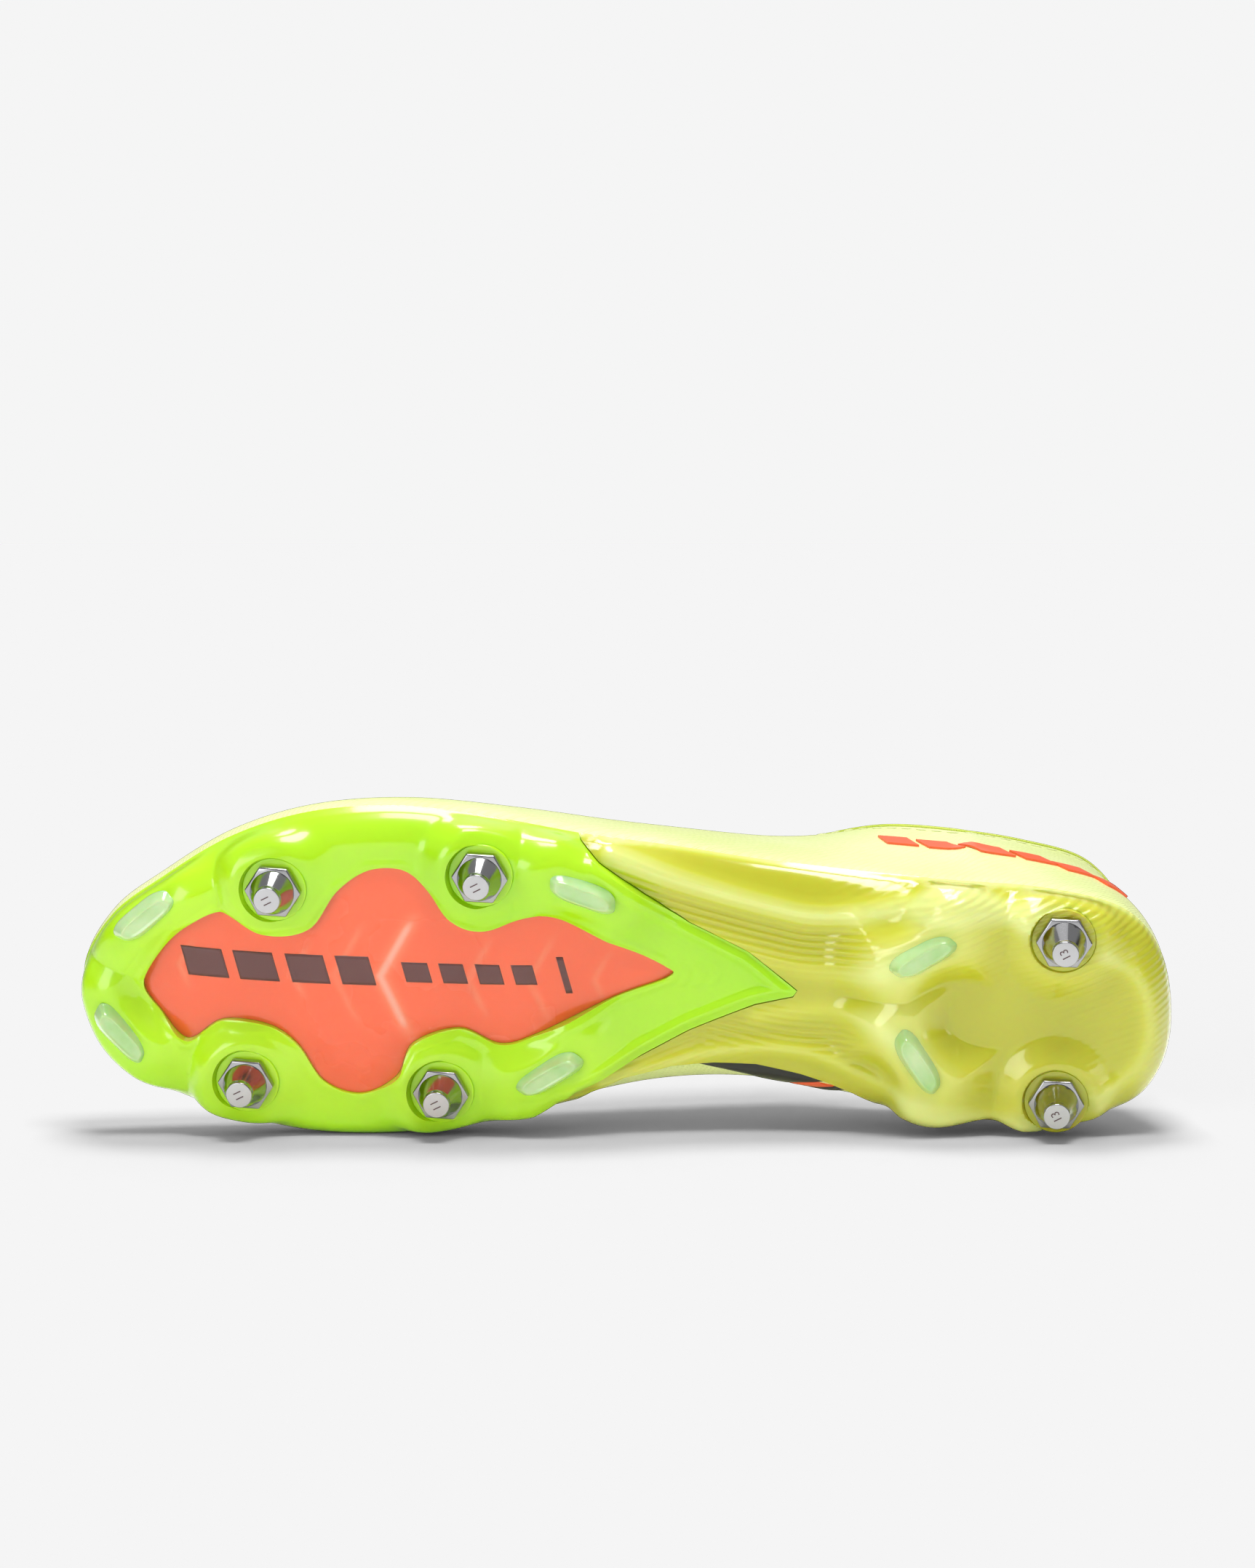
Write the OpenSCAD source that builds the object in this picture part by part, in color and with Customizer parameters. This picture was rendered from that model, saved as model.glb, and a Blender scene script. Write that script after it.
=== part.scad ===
// Soft-ground soccer boot for the left foot, standing on its studs.
// +X to the toe, +Y to the outer (lateral) side, +Z up, lengths in mm.

/* [Boot] */
// Overall length of the boot, heel to toe
boot_length = 289; // [260:1:310]
// Width across the ball of the foot
ball_width = 91.5; // [85:0.5:98]
// Thickness of the two sole plates
plate_t = 1.5; // [1.2:0.1:1.6]
// Thickness of the upper's outer layer
shell_t = 1.2; // [0.8:0.1:1.2]
// Thickness of the lasting board
board_t = 1.5; // [1:0.1:2]
// Thickness of the foam under the sockliner's cover
foam_t = 3; // [2:0.5:5]

/* [Studs] */
// Height of the four forefoot studs
fore_stud = 11; // [9:0.5:13]
// Height of the two heel studs
heel_stud = 13; // [11:0.5:15]
// Spanner size across the flats of a stud
stud_flats = 13; // [12:0.5:14]
// Diameter of the worn end of a stud
stud_tip_d = 7; // [5:0.5:9]
// Diameter of the threaded stem
stem_d = 5; // [4:0.5:6]
// Radial clearance of the stem in its bores
stem_gap = 0.05; // [0.02:0.01:0.1]

/* [Traction tips] */
// Length of a clear tip at its end
tip_l = 17; // [14:0.5:20]
// Width of a clear tip at its end
tip_w = 5; // [4:0.5:7]

/* [Lace] */
// Width of the flat lace
lace_w = 3; // [2.5:0.1:3.4]
// Thickness of the flat lace
lace_t = 1.3; // [1:0.1:1.5]

/* [Hidden] */

lime = [0.6, 0.84, 0.08];
straw = [0.82, 0.84, 0.3];
cream = [0.93, 0.96, 0.66];
hot = [0.98, 0.38, 0.26];
dark = [0.07, 0.07, 0.08];
steel = [0.78, 0.79, 0.8];
mint = [0.8, 0.95, 0.84];

// The last, from the heel along the lateral side to the toe. Each row:
// widest line x y z, rim x y z, pull of the wall off the widest line,
// pull of the wall off the rim, drop off the rim, roll to the sole.
// x from the heel, z from the ground.
LAT = [
  [0, -7, 34, 8, -5, 80, 15, 1, 18, 10],
  [4, 11, 33, 11, 8, 79.5, 15, 1, 18, 10],
  [15, 23, 31, 22, 20, 79, 15, 2, 16, 10],
  [36, 28, 30, 40, 26, 75, 15, 3, 14, 10],
  [62, 29, 31, 60, 28.8, 73.5, 14, 4, 12, 10],
  [88, 30, 33, 78, 28, 77.5, 14, 5, 12, 11],
  [112, 32, 33, 94, 22.3, 86, 16, 9, 14, 12],
  [135, 35.5, 31, 106, 17, 91, 18, 16, 12, 12],
  [157, 38.5, 29, 120, 16, 88, 18, 20, 8, 12],
  [180, 42.5, 27, 135, 15, 82.5, 17, 25, 7, 12],
  [205, 45, 26, 149, 13.8, 76.5, 15, 30, 7, 12],
  [229, 42.4, 27, 160, 12, 71.5, 14, 34, 7, 12],
  [250, 34.3, 30, 168.5, 9, 67.5, 13, 38, 8, 12],
  [268, 21.8, 33, 174, 5, 65, 12, 44, 9, 12],
  [281.5, 10, 35.5, 175.5, 1.5, 64.1, 12, 48, 10, 12],
  [289, -6, 37, 176, -1, 64, 12, 50, 11, 12]];
// The medial side, heel to toe, without the two ends.
MED = [
  [2.5, -22, 33, 10.5, -18, 79.5, 15, 1, 18, 10],
  [12, -32, 31, 21, -28.5, 77, 15, 2, 16, 10],
  [34, -37, 30, 39, -34, 71.5, 15, 3, 14, 9],
  [60, -37, 33, 60, -35.5, 70, 14, 4, 12, 8],
  [87, -34.3, 37, 80, -32, 75, 14, 6, 12, 8],
  [111, -31.6, 38, 96, -25, 86, 16, 9, 14, 9],
  [134, -32.3, 36, 107, -20, 92, 18, 16, 12, 10],
  [156, -36.4, 32, 120, -17, 88.5, 18, 20, 8, 11],
  [180, -42.5, 28, 135, -15.5, 83, 17, 25, 7, 12],
  [205, -46, 26, 149, -14.5, 77, 15, 30, 7, 12],
  [229, -46, 27, 160, -13, 72, 14, 34, 7, 12],
  [252, -41.5, 30, 168.5, -10.5, 68, 13, 38, 8, 12],
  [270, -35, 33, 174, -6.5, 65.2, 12, 44, 9, 12],
  [283.5, -24, 35.5, 175.5, -4, 64.2, 12, 48, 10, 12]];
// Height of the sole's outer face along the foot: x, z.
SOLE = [[-40, 18], [0, 17], [30, 16], [60, 17], [82, 20.5], [102, 23],
  [120, 22.5], [140, 19.5], [160, 16.3], [180, 14.4], [200, 14],
  [230, 14], [250, 16], [270, 20.5], [289, 27], [320, 40]];
// Outline of the air unit's window in the forefoot plate.
WINDOW = [[271, -5], [262, 9], [251, 15.5], [240, 10.5], [228, 12],
  [221, 22], [213, 28], [204, 28.5], [197, 23.5], [191, 15.5], [182, 13],
  [168, 18], [155, 13], [136, 4], [133.5, 0.5], [148, -5], [167, -14.5],
  [177, -17.5], [188, -13.5], [200, -18], [204, -27], [213, -32],
  [223, -29], [230, -19.5], [238, -14.5], [250, -14], [259, -20],
  [266, -13.5]];
// Edge of the forefoot plate's swallow tail, medial to lateral.
TAIL = [[176, -70], [173, -45], [167, -36.5], [157, -30], [141, -21],
  [128, -14], [111, -7], [101, -4.5], [100, -3], [113, 7], [129, 15],
  [142, 23.5], [153, 31], [158, 36], [162, 45], [168, 70]];
// Waist scooped out of the rear plate's medial edge.
SCOOP = [[166, -60], [161, -37.5], [153, -31.5], [144.5, -26.8],
  [132, -23.6], [121, -22.9], [110, -23.2], [98, -25.4], [91, -27.3],
  [84, -30], [78, -33.4], [73, -37], [69, -60]];
// Studs: x, y, height, lean to the toe, lean to the lateral side.
STUDS = [[237, 22.8, fore_stud, 7, 1], [243, -29, fore_stud, 8, -1],
  [183.5, 28.4, fore_stud, 5, 0], [192, -30, fore_stud, 6, 0],
  [31.4, 16, heel_stud, 1, 1], [31.2, -27.4, heel_stud, 2, 1]];
// Clear traction tips: x, y, height of the end, turn in plan.
TIPS = [[270.5, 13.2, 12.5, -43], [276.5, -19.1, 13.5, 45],
  [157.2, 24.6, 8, 18], [164.2, -24.2, 8, -34],
  [67.5, 11.1, 8, -34], [67.8, -17.5, 8, 54]];

NS = len(LAT) - 1;
NL = 2 * NS;
// The last is drawn 286.9 by 89.2 over its plates, middle at 144.5.
sx = boot_length / 286.9;
sy = ball_width / 89.2;
function flat(p) = [(p[0] - 144.5) * sx, p[1] * sy];
function own(r) = concat(flat(r), r[2], flat([r[3], r[4]]),
  [for (i = [5:9]) r[i]]);
LOOP = [for (r = concat(LAT, [for (i = [NS - 2:-1:0]) MED[i]])) own(r)];

shell_d = plate_t + 0.1;          // depth of each layer below the plates
stiff_d = shell_d + shell_t + 0.1;
stiff_t = 1;
lining_d = stiff_d + stiff_t + 0.1;
lining_t = 0.8;
board_d = stiff_d;
sock_d = board_d + board_t + 0.7;
thread = 3.9;                     // length of stem held in an insert
travel = 5;                       // how far a stud backs out
e_w = [7.9, 9.1, 10.3, 11.4, 12.4];   // places of the eyelets
e_q = 0.1;
// Shared stations, so that nested layers keep their gaps: one cell of the
// ring, and places down the wall.
cell_w = 0.75;
wall_q = [0, 0.1, 0.2, 0.32, 0.44, 0.62, 0.82, 1, 1.2, 1.4, 1.62, 1.8, 2];
bed_v = [1.4, 1.62, 1.8, 2, 2.25, 2.5, 2.75, 3, 3.2, 3.38, 3.6];

// Curves.
function cr(a, b, c, d, t) = b + 0.5 * t * ((c - a)
  + t * ((2 * a - 5 * b + 4 * c - d) + t * (3 * (b - c) + d - a)));
function cell(x, i) = x < SOLE[i + 1][0] || i > len(SOLE) - 4
  ? i : cell(x, i + 1);
function sole_z(x) = let(h = x / sx + 144.5, i = cell(h, 1),
  t = (h - SOLE[i][0]) / (SOLE[i + 1][0] - SOLE[i][0]))
  cr(SOLE[i - 1][1], SOLE[i][1], SOLE[i + 1][1], SOLE[i + 2][1], t);
function lp(w) = let(q = w - floor(w / NL) * NL, i = floor(q))
  cr(LOOP[(i - 1 + NL) % NL], LOOP[i % NL], LOOP[(i + 1) % NL],
     LOOP[(i + 2) % NL], q - i);
function ring(p, k) = let(n = len(p)) [for (i = [0:n - 1]) for (t = [0:k - 1])
  cr(p[(i + n - 1) % n], p[i], p[(i + 1) % n], p[(i + 2) % n], t / k)];
function unit(v) = v / max(norm(v), 1e-9);
function mix(a, b, t) = a * (1 - t) + b * t;
function bez(a, b, c, d, t) = a * pow(1 - t, 3) + b * 3 * t * pow(1 - t, 2)
  + c * 3 * t * t * (1 - t) + d * pow(t, 3);
function bump(x, a, b) = x <= a || x >= b ? 0
  : pow(sin(180 * (x - a) / (b - a)), 2);
function span(a, b, n) = [for (i = [0:n]) a + (b - a) * i / n];
function cells(a, b) = [for (w = [a:cell_w:b]) w];
function between(v, a, b) = [for (x = v) if (x >= a && x <= b) x];
function inward(w) = let(d = lp(w + 0.02) - lp(w - 0.02))
  unit([d[1], -d[0], 0]);

// Outer face of one side: q 0 at the rim, 1 at the widest line, 2 under.
function side(w, q) = let(r = lp(w), o = [r[0], r[1], r[2]],
  e = [r[3], r[4], r[5]], out = unit([o.x - e.x, o.y - e.y, 0]))
  q <= 1 ? bez(e, e + out * r[7] - [0, 0, r[8]], o + [0, 0, r[6]], o, q)
  : let(n = inward(w), bx = o.x + n.x * r[9], by = o.y + n.y * r[9],
      f = (q - 1) * 90)
    [mix(bx, o.x, cos(f)), mix(by, o.y, cos(f)),
     o.z - (o.z - sole_z(bx)) * sin(f)];
function face_n(w, q) = unit(cross(side(w + 0.02, q) - side(w - 0.02, q),
  side(w, min(2, q + 0.02)) - side(w, max(0, q - 0.02))));
// The same face, d mm into the boot.
function sp(w, q, d) = side(w, q) - face_n(w, q) * d;
// Right across the sole: v 0..2 lateral side, 2..3 flat, 3..5 medial.
function up(u, v, d) = v <= 2 ? sp(u, v, d)
  : v >= 3 ? sp(NL - u, 5 - v, d)
  : mix(sp(u, 2, d), sp(NL - u, 2, d), v - 2);
// Extra depth of the padded collar.
function pad(w, q) = let(k = w > NS ? w - NL : w)
  3.2 * bump(q, -0.06, 0.42) * bump(k, -7.4, 7.4) / (1 + 0.5 * bump(k, -3, 3));

// Solid between two grids of points.
function tri(p, a, b, c) = p[a] != p[b] && p[b] != p[c] && p[a] != p[c]
  ? [[a, b, c]] : [];
function quad(p, a, b, c, d) = concat(tri(p, a, b, c), tri(p, a, c, d));
module slab(A, B, loop = false, cap0 = true, cap1 = true) {
  n = len(A);
  m = len(A[0]);
  k = n * m;
  z = (n - 1) * m;
  p = concat([for (r = A) for (x = r) x], [for (r = B) for (x = r) x]);
  body = [for (i = [0:(loop ? n : n - 1) - 1]) let(h = (i + 1) % n)
    each concat(
      [for (j = [0:m - 2]) each concat(
        quad(p, i * m + j, i * m + j + 1, h * m + j + 1, h * m + j),
        quad(p, k + i * m + j, k + h * m + j, k + h * m + j + 1,
          k + i * m + j + 1))],
      quad(p, i * m, h * m, k + h * m, k + i * m),
      quad(p, i * m + m - 1, k + i * m + m - 1, k + h * m + m - 1,
        h * m + m - 1))];
  ends = [for (j = [0:m - 2]) each concat(
    loop || !cap0 ? [] : quad(p, j, k + j, k + j + 1, j + 1),
    loop || !cap1 ? [] : quad(p, z + j, z + j + 1, k + z + j + 1, k + z + j))];
  polyhedron(p, concat(body, ends), convexity = 10);
}
// Layer over a stretch of the wall.
module wall(ws, qs, d0, d1, loop = false)
  slab([for (w = ws) [for (q = qs) sp(w, q, d0)]],
    [for (w = ws) [for (q = qs) sp(w, q, d1)]], loop);
// Layer across the sole, closed at the heel or the toe.
module bed(us, vs, d0, d1, heel = true, toe = true)
  slab([for (u = us) [for (v = vs) up(u, v, d0)]],
    [for (u = us) [for (v = vs) up(u, v, d1)]], false, !heel, !toe);
// One mesh out of joined or cut pieces.
module one() resize([0, 0, 0]) union() children();
module prism(p, grow = 0) linear_extrude(60) offset(delta = grow)
  polygon([for (q = p) flat(q)]);
module window(grow) prism(ring(WINDOW, 2), grow);
module tail(grow) prism(concat(TAIL, [[330, 70], [330, -70]]), grow);

// A stud's own frame: its seat at 0, the ground end along -Z.
function lean(s) = [s[4], -s[3], 0];
function seat(s) = s[2] * cos(s[3]) + stud_tip_d / 2 * sin(s[3]);
module at_stud(s) translate([flat(s)[0], flat(s)[1], seat(s)])
  rotate(lean(s)) children();
module stud_boss(s) at_stud(s) rotate_extrude($fn = 18)
  polygon([[4.9, 0], [9.4, 0], [9.7, -1.6], [10.7, -1.6], [11.9, 5],
    [11.9, 14], [4.9, 14]]);
module stud_cut(s) at_stud(s) translate([0, 0, -6])
  cylinder(r = 8, h = 18, $fn = 12);
module stud_insert(s) color(steel) at_stud(s) difference() {
  rotate_extrude($fn = 60)
    polygon([[0, 0], [4.6, 0], [4.6, 1.6], [4.1, 2], [4.1, 2.8],
      [4.6, 3.2], [4.6, thread], [0, thread]]);
  translate([0, 0, -1]) cylinder(d = stem_d + 2 * stem_gap, h = 12, $fn = 60);
}
module stud_stem(s) color(steel) at_stud(s) translate([0, 0, -3.9])
  cylinder(d = stem_d, h = 3.9 + thread, $fn = 60);
module stud_head(s) color(steel) at_stud(s) difference() {
  union() {
    translate([0, 0, -2.8])
      cylinder(d = stud_flats / cos(30), h = 2.5, $fn = 6);
    rotate_extrude($fn = 60)
      polygon([[0, -2.7], [5.85, -2.7], [5.6, -3.2],
        [stud_tip_d / 2, 1.8 - s[2]], [stud_tip_d / 2, -s[2]], [0, -s[2]]]);
  }
  translate([0, 0, -4]) cylinder(d = stem_d + 2 * stem_gap, h = 8, $fn = 60);
}

// Traction tips and the ramps that carry them.
module lozenge(l, w, h) linear_extrude(h) hull() {
  for (k = [-1, 1])
    translate([k * (l / 2 - w * 0.28), 0]) circle(d = w, $fn = 10);
}
module at_tip(t) translate([flat(t)[0], flat(t)[1], t[2]])
  rotate([0, 0, t[3]]) children();
module tip(t) color(mint) one() at_tip(t) hull() {
  lozenge(tip_l - 3, tip_w - 1, 0.2);
  translate([0, 0, 0.8]) lozenge(tip_l, tip_w, 0.2);
  translate([0, 0, 3.4]) lozenge(tip_l + 2, tip_w + 2, 0.2);
}
module ramp(t) at_tip(t) hull() {
  translate([0, 0, 3.8]) lozenge(tip_l + 4, tip_w + 3.4, 0.2);
  translate([0, 0, 15]) lozenge(tip_l + 16, tip_w + 15, 0.2);
}
// Plan of the sole's underside, which trims bosses and ramps.
module plan() linear_extrude(60)
  polygon([for (w = span(0, NL - 0.5, 59)) let(p = side(w, 1.3)) [p.x, p.y]]);

// Sole.
fore_u = cells(5.25, 15);
rear_u = cells(0, 9.75);
boot_u = cells(0, 15);
plate_v = concat([1.28], bed_v, [3.72]);
air_v = [1.9, 2, 2.25, 2.5, 2.75, 3, 3.1];
module forefoot_plate() color(lime) one() intersection() {
  tail(0);
  union() {
    difference() {
      bed(fore_u, plate_v, 0, plate_t, false, true);
      window(0);
      for (i = [0:3]) stud_cut(STUDS[i]);
    }
    intersection() {
      bed(fore_u, plate_v, -12, plate_t - 0.1, false, true);
      plan();
      union() {
        for (i = [0:3]) stud_boss(STUDS[i]);
        for (i = [0:3]) ramp(TIPS[i]);
      }
    }
  }
}
module rear_plate() color(straw) one() difference() {
  union() {
    difference() {
      bed(rear_u, plate_v, 0, plate_t, true, false);
      for (i = [4, 5]) stud_cut(STUDS[i]);
    }
    intersection() {
      bed(rear_u, plate_v, -12, plate_t - 0.1, true, false);
      plan();
      union() {
        for (i = [4, 5]) stud_boss(STUDS[i]);
        for (i = [4, 5]) ramp(TIPS[i]);
      }
    }
  }
  tail(0.25);
  prism(SCOOP);
}
module air_unit() color(hot) one() intersection() {
  bed(fore_u, air_v, 0.8, board_d - 0.1, false, true);
  window(-0.25);
}
module window_film()
 color([1, 0.85, 0.8, 0.35]) one() intersection() {
  bed(fore_u, air_v, 0.1, 0.7, false, true);
  window(-0.25);
}
module lasting_board() color([0.85, 0.84, 0.8])
  bed(boot_u, between(bed_v, 1.8, 3.2), board_d, board_d + board_t);

// Upper.
round_w = cells(0, NL - cell_w);
module eyelets(r = 2.3) for (w = [for (k = e_w) each [k, NL - k]]) {
  n = face_n(w, e_q);
  translate(sp(w, e_q, 0)) rotate([0, acos(n.z), atan2(n.y, n.x)])
    translate([0, 0, -9]) cylinder(r = r, h = 18, $fn = 6);
}
module upper_shell() color(cream) one() difference() {
  wall(round_w, wall_q, shell_d, shell_d + shell_t, true);
  eyelets();
}
module upper_lining() color([0.9, 0.92, 0.75]) one() difference() {
  qs = between(wall_q, 0, 1.62);
  slab([for (w = round_w) [for (q = qs) sp(w, q, lining_d + pad(w, q))]],
    [for (w = round_w) [for (q = qs) sp(w, q, lining_d + lining_t + pad(w, q))]],
    true);
  eyelets(3.4);
}
module collar_foam() color([0.95, 0.93, 0.8]) {
  ws = cells(-6.75, 6.75);
  qs = between(wall_q, 0, 0.44);
  slab([for (w = ws) [for (q = qs) sp(w, q, stiff_d)]],
    [for (w = ws) [for (q = qs) sp(w, q, stiff_d + stiff_t + pad(w, q))]]);
}
module heel_counter() color([0.8, 0.8, 0.78])
  wall(cells(-4.5, 4.5), between(wall_q, 0.62, 1.62), stiff_d,
    stiff_d + stiff_t);
module toe_puff() color([0.8, 0.8, 0.78])
  wall(cells(11.25, 18.75), between(wall_q, 0.62, 1.62), stiff_d,
    stiff_d + stiff_t - 0.2);
module collar_binding() color([0.86, 0.9, 0.5]) {
  ws = cells(-6.75, 6.75);
  sec = [[1.3, 0.3], [1.1, 1], [2, 1.9], [4.4, 1.9], [5.4, 1], [5.2, 0.3]];
  g = [for (w = ws) let(up = unit(side(w, 0) - side(w, 0.03)))
    [for (s = sec) sp(w, 0, s[0]) + up * s[1]]];
  slab([for (r = g) [r[0], r[1], r[2]]], [for (r = g) [r[5], r[4], r[3]]]);
}
module eyestay(w0, w1) color([0.88, 0.92, 0.55]) one() difference() {
  wall(cells(w0, w1), [0, 0.1, 0.2], 0.7, shell_d - 0.1);
  eyelets();
}
module side_panel() color(dark)
  wall(cells(NL - 6.75, NL - 5.25), [1.2, 1.4, 1.62], 1, shell_d - 0.1);
module side_patch() color(hot)
  wall(cells(NL - 5.25, NL - 4.5), [0.82, 1], 1, shell_d - 0.1);
module heel_bars() color(hot)
  for (k = [0:5])
    wall(span(1.85 + k * 0.5, 2.23 + k * 0.5, 2), [0.44, 0.62], 0.35, 0.9);

// Tongue: from under the vamp to above the throat.
function arch(a, b, h, t) = mix(a, b, t)
  + [0, 0, h * sin(180 * t)] * min(1, norm(a - b) / 20);
function tongue_row(u, d) = let(qs = [0.26, 0.2, 0.1, 0.03])
  concat([for (q = qs) sp(u, q, d)],
    [for (t = [0.25, 0.5, 0.75])
      arch(sp(u, 0.03, d), sp(NL - u, 0.03, d), 2.2, t)],
    [for (i = [3:-1:0]) sp(NL - u, qs[i], d)]);
function tongue_rows(d) = concat(
  [for (k = [3:-1:1]) [for (p = tongue_row(7.5, d + 0.4 * k))
    p + [-4.5 * k, 0, 4 * k]]],
  [for (u = cells(7.5, 15)) tongue_row(u, d)]);
module tongue() color([0.9, 0.94, 0.58])
  slab(tongue_rows(11.5), tongue_rows(8.6), false, true, false);

// Lace: up through each eyelet, over the throat, under the next one.
function hop(a, b) = let(ca = sp(a, 0.02, 1), cb = sp(b, 0, 6.6))
  [sp(a, e_q, 6.6), sp(a, e_q, 3), sp(a, e_q, -0.3), sp(a, 0.045, -0.6),
   sp(a, 0, -0.6) + unit(sp(b, 0, 0) - sp(a, 0, 0)) * 2,
   arch(ca, cb, 3.5, 0.25) + [0, 0, 0.6], arch(ca, cb, 3.5, 0.5),
   arch(ca, cb, 2.8, 0.8), sp(b, 0.01, 6.6), sp(b, e_q, 6.6)];
module bead(p) translate(p)
  cylinder(d = lace_w, h = lace_t, center = true, $fn = 5);
module strand(p) for (i = [0:len(p) - 2]) hull() {
  bead(p[i]);
  bead(p[i + 1]);
}
module lace() color([0.85, 0.95, 0.3]) one() {
  for (i = [4:-1:1]) {
    strand(hop(e_w[i], NL - e_w[i - 1]));
    strand(hop(NL - e_w[i], e_w[i - 1]));
  }
  strand(hop(e_w[4], NL - e_w[4]));
}

// Loose footbed.
module sockliner_foam() color([0.95, 0.6, 0.3])
  bed(span(0, 15, 24), span(1.8, 3.2, 8), sock_d, sock_d + foam_t);
module sockliner_cover() color([0.2, 0.2, 0.22])
  bed(span(0, 15, 24), span(1.8, 3.2, 8), sock_d + foam_t + 0.05,
    sock_d + foam_t + 0.85);

forefoot_plate();
rear_plate();
air_unit();
window_film();
stud_insert(STUDS[0]);  // insert_front_lateral
stud_insert(STUDS[1]);  // insert_front_medial
stud_insert(STUDS[2]);  // insert_mid_lateral
stud_insert(STUDS[3]);  // insert_mid_medial
stud_insert(STUDS[4]);  // insert_heel_lateral
stud_insert(STUDS[5]);  // insert_heel_medial
stud_stem(STUDS[0]);  // stem_front_lateral
stud_stem(STUDS[1]);  // stem_front_medial
stud_stem(STUDS[2]);  // stem_mid_lateral
stud_stem(STUDS[3]);  // stem_mid_medial
stud_stem(STUDS[4]);  // stem_heel_lateral
stud_stem(STUDS[5]);  // stem_heel_medial
stud_head(STUDS[0]);  // stud_front_lateral
stud_head(STUDS[1]);  // stud_front_medial
stud_head(STUDS[2]);  // stud_mid_lateral
stud_head(STUDS[3]);  // stud_mid_medial
stud_head(STUDS[4]);  // stud_heel_lateral
stud_head(STUDS[5]);  // stud_heel_medial
tip(TIPS[0]);  // tip_toe_lateral
tip(TIPS[1]);  // tip_toe_medial
tip(TIPS[2]);  // tip_mid_lateral
tip(TIPS[3]);  // tip_mid_medial
tip(TIPS[4]);  // tip_heel_lateral
tip(TIPS[5]);  // tip_heel_medial
lasting_board();
heel_counter();
toe_puff();
upper_shell();
upper_lining();
collar_foam();
collar_binding();
tongue();
eyestay(7.5, 14.25);  // eyestay_lateral
eyestay(15.75, 22.5);  // eyestay_medial
lace();
side_panel();
side_patch();
heel_bars();
sockliner_foam();
sockliner_cover();
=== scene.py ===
"""Soft-ground soccer boot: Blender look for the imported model.

Lengths below are millimetres in the row frame (+X toe, +Y lateral, +Z up)
and become metres when a mesh is made.
"""
import math

import bmesh
import bpy
import numpy as np
from mathutils import Matrix, Vector


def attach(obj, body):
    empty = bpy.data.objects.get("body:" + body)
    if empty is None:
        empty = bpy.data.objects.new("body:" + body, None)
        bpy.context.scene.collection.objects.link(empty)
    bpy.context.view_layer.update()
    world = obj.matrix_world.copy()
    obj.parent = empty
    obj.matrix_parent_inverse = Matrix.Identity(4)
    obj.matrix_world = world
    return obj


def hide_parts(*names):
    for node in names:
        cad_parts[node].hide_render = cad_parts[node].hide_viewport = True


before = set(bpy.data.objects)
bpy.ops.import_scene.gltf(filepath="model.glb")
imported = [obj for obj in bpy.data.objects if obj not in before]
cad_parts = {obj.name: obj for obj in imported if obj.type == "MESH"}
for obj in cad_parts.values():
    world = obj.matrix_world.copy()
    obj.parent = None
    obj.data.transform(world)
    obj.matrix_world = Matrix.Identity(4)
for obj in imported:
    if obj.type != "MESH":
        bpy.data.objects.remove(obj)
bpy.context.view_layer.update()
MM = 0.001
BOOT, SOCK = "boot", "sockliner"

# ---------------------------------------------------------------- camera
DIST = 1800                      # camera to the boot
TILT, ROLL = 16, 2               # degrees above the sole's normal, and roll
SHIFT = (0.2, 56.5)              # aim beside and above the boot's middle


def make_camera():
    """The photograph's view: square on to the sole, toe to the left."""
    t, r = math.radians(TILT), math.radians(ROLL)
    back = Vector((0, math.sin(t), -math.cos(t)))
    up = Vector((0, math.cos(t), math.sin(t)))
    right = up.cross(back)
    up, right = (up * math.cos(r) - right * math.sin(r),
                 right * math.cos(r) + up * math.sin(r))
    at = (back * DIST + up * SHIFT[1] + right * SHIFT[0]) * MM
    rot = Matrix((right, up, back)).transposed()
    data = bpy.data.cameras.new("camera")
    data.lens, data.sensor_width = 158.4, 36
    data.clip_start, data.clip_end = 0.01, 50
    cam = bpy.data.objects.new("camera", data)
    cam.matrix_world = Matrix.Translation(at) @ rot.to_4x4()
    bpy.context.scene.collection.objects.link(cam)
    bpy.context.scene.camera = cam
    return right, up, back


RIGHT, UP, BACK = make_camera()

# ------------------------------------------------------------- boot's last
# Same control rows as the CAD source: widest line x y z, rim x y z,
# side pull, rim pull, rim drop, roll.
LAT = [
    [0, -7, 34, 8, -5, 80, 15, 1, 18, 10],
    [4, 11, 33, 11, 8, 79.5, 15, 1, 18, 10],
    [15, 23, 31, 22, 20, 79, 15, 2, 16, 10],
    [36, 28, 30, 40, 26, 75, 15, 3, 14, 10],
    [62, 29, 31, 60, 28.8, 73.5, 14, 4, 12, 10],
    [88, 30, 33, 78, 28, 77.5, 14, 5, 12, 11],
    [112, 32, 33, 94, 22.3, 86, 16, 9, 14, 12],
    [135, 35.5, 31, 106, 17, 91, 18, 16, 12, 12],
    [157, 38.5, 29, 120, 16, 88, 18, 20, 8, 12],
    [180, 42.5, 27, 135, 15, 82.5, 17, 25, 7, 12],
    [205, 45, 26, 149, 13.8, 76.5, 15, 30, 7, 12],
    [229, 42.4, 27, 160, 12, 71.5, 14, 34, 7, 12],
    [250, 34.3, 30, 168.5, 9, 67.5, 13, 38, 8, 12],
    [268, 21.8, 33, 174, 5, 65, 12, 44, 9, 12],
    [281.5, 10, 35.5, 175.5, 1.5, 64.1, 12, 48, 10, 12],
    [289, -6, 37, 176, -1, 64, 12, 50, 11, 12]]
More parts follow.
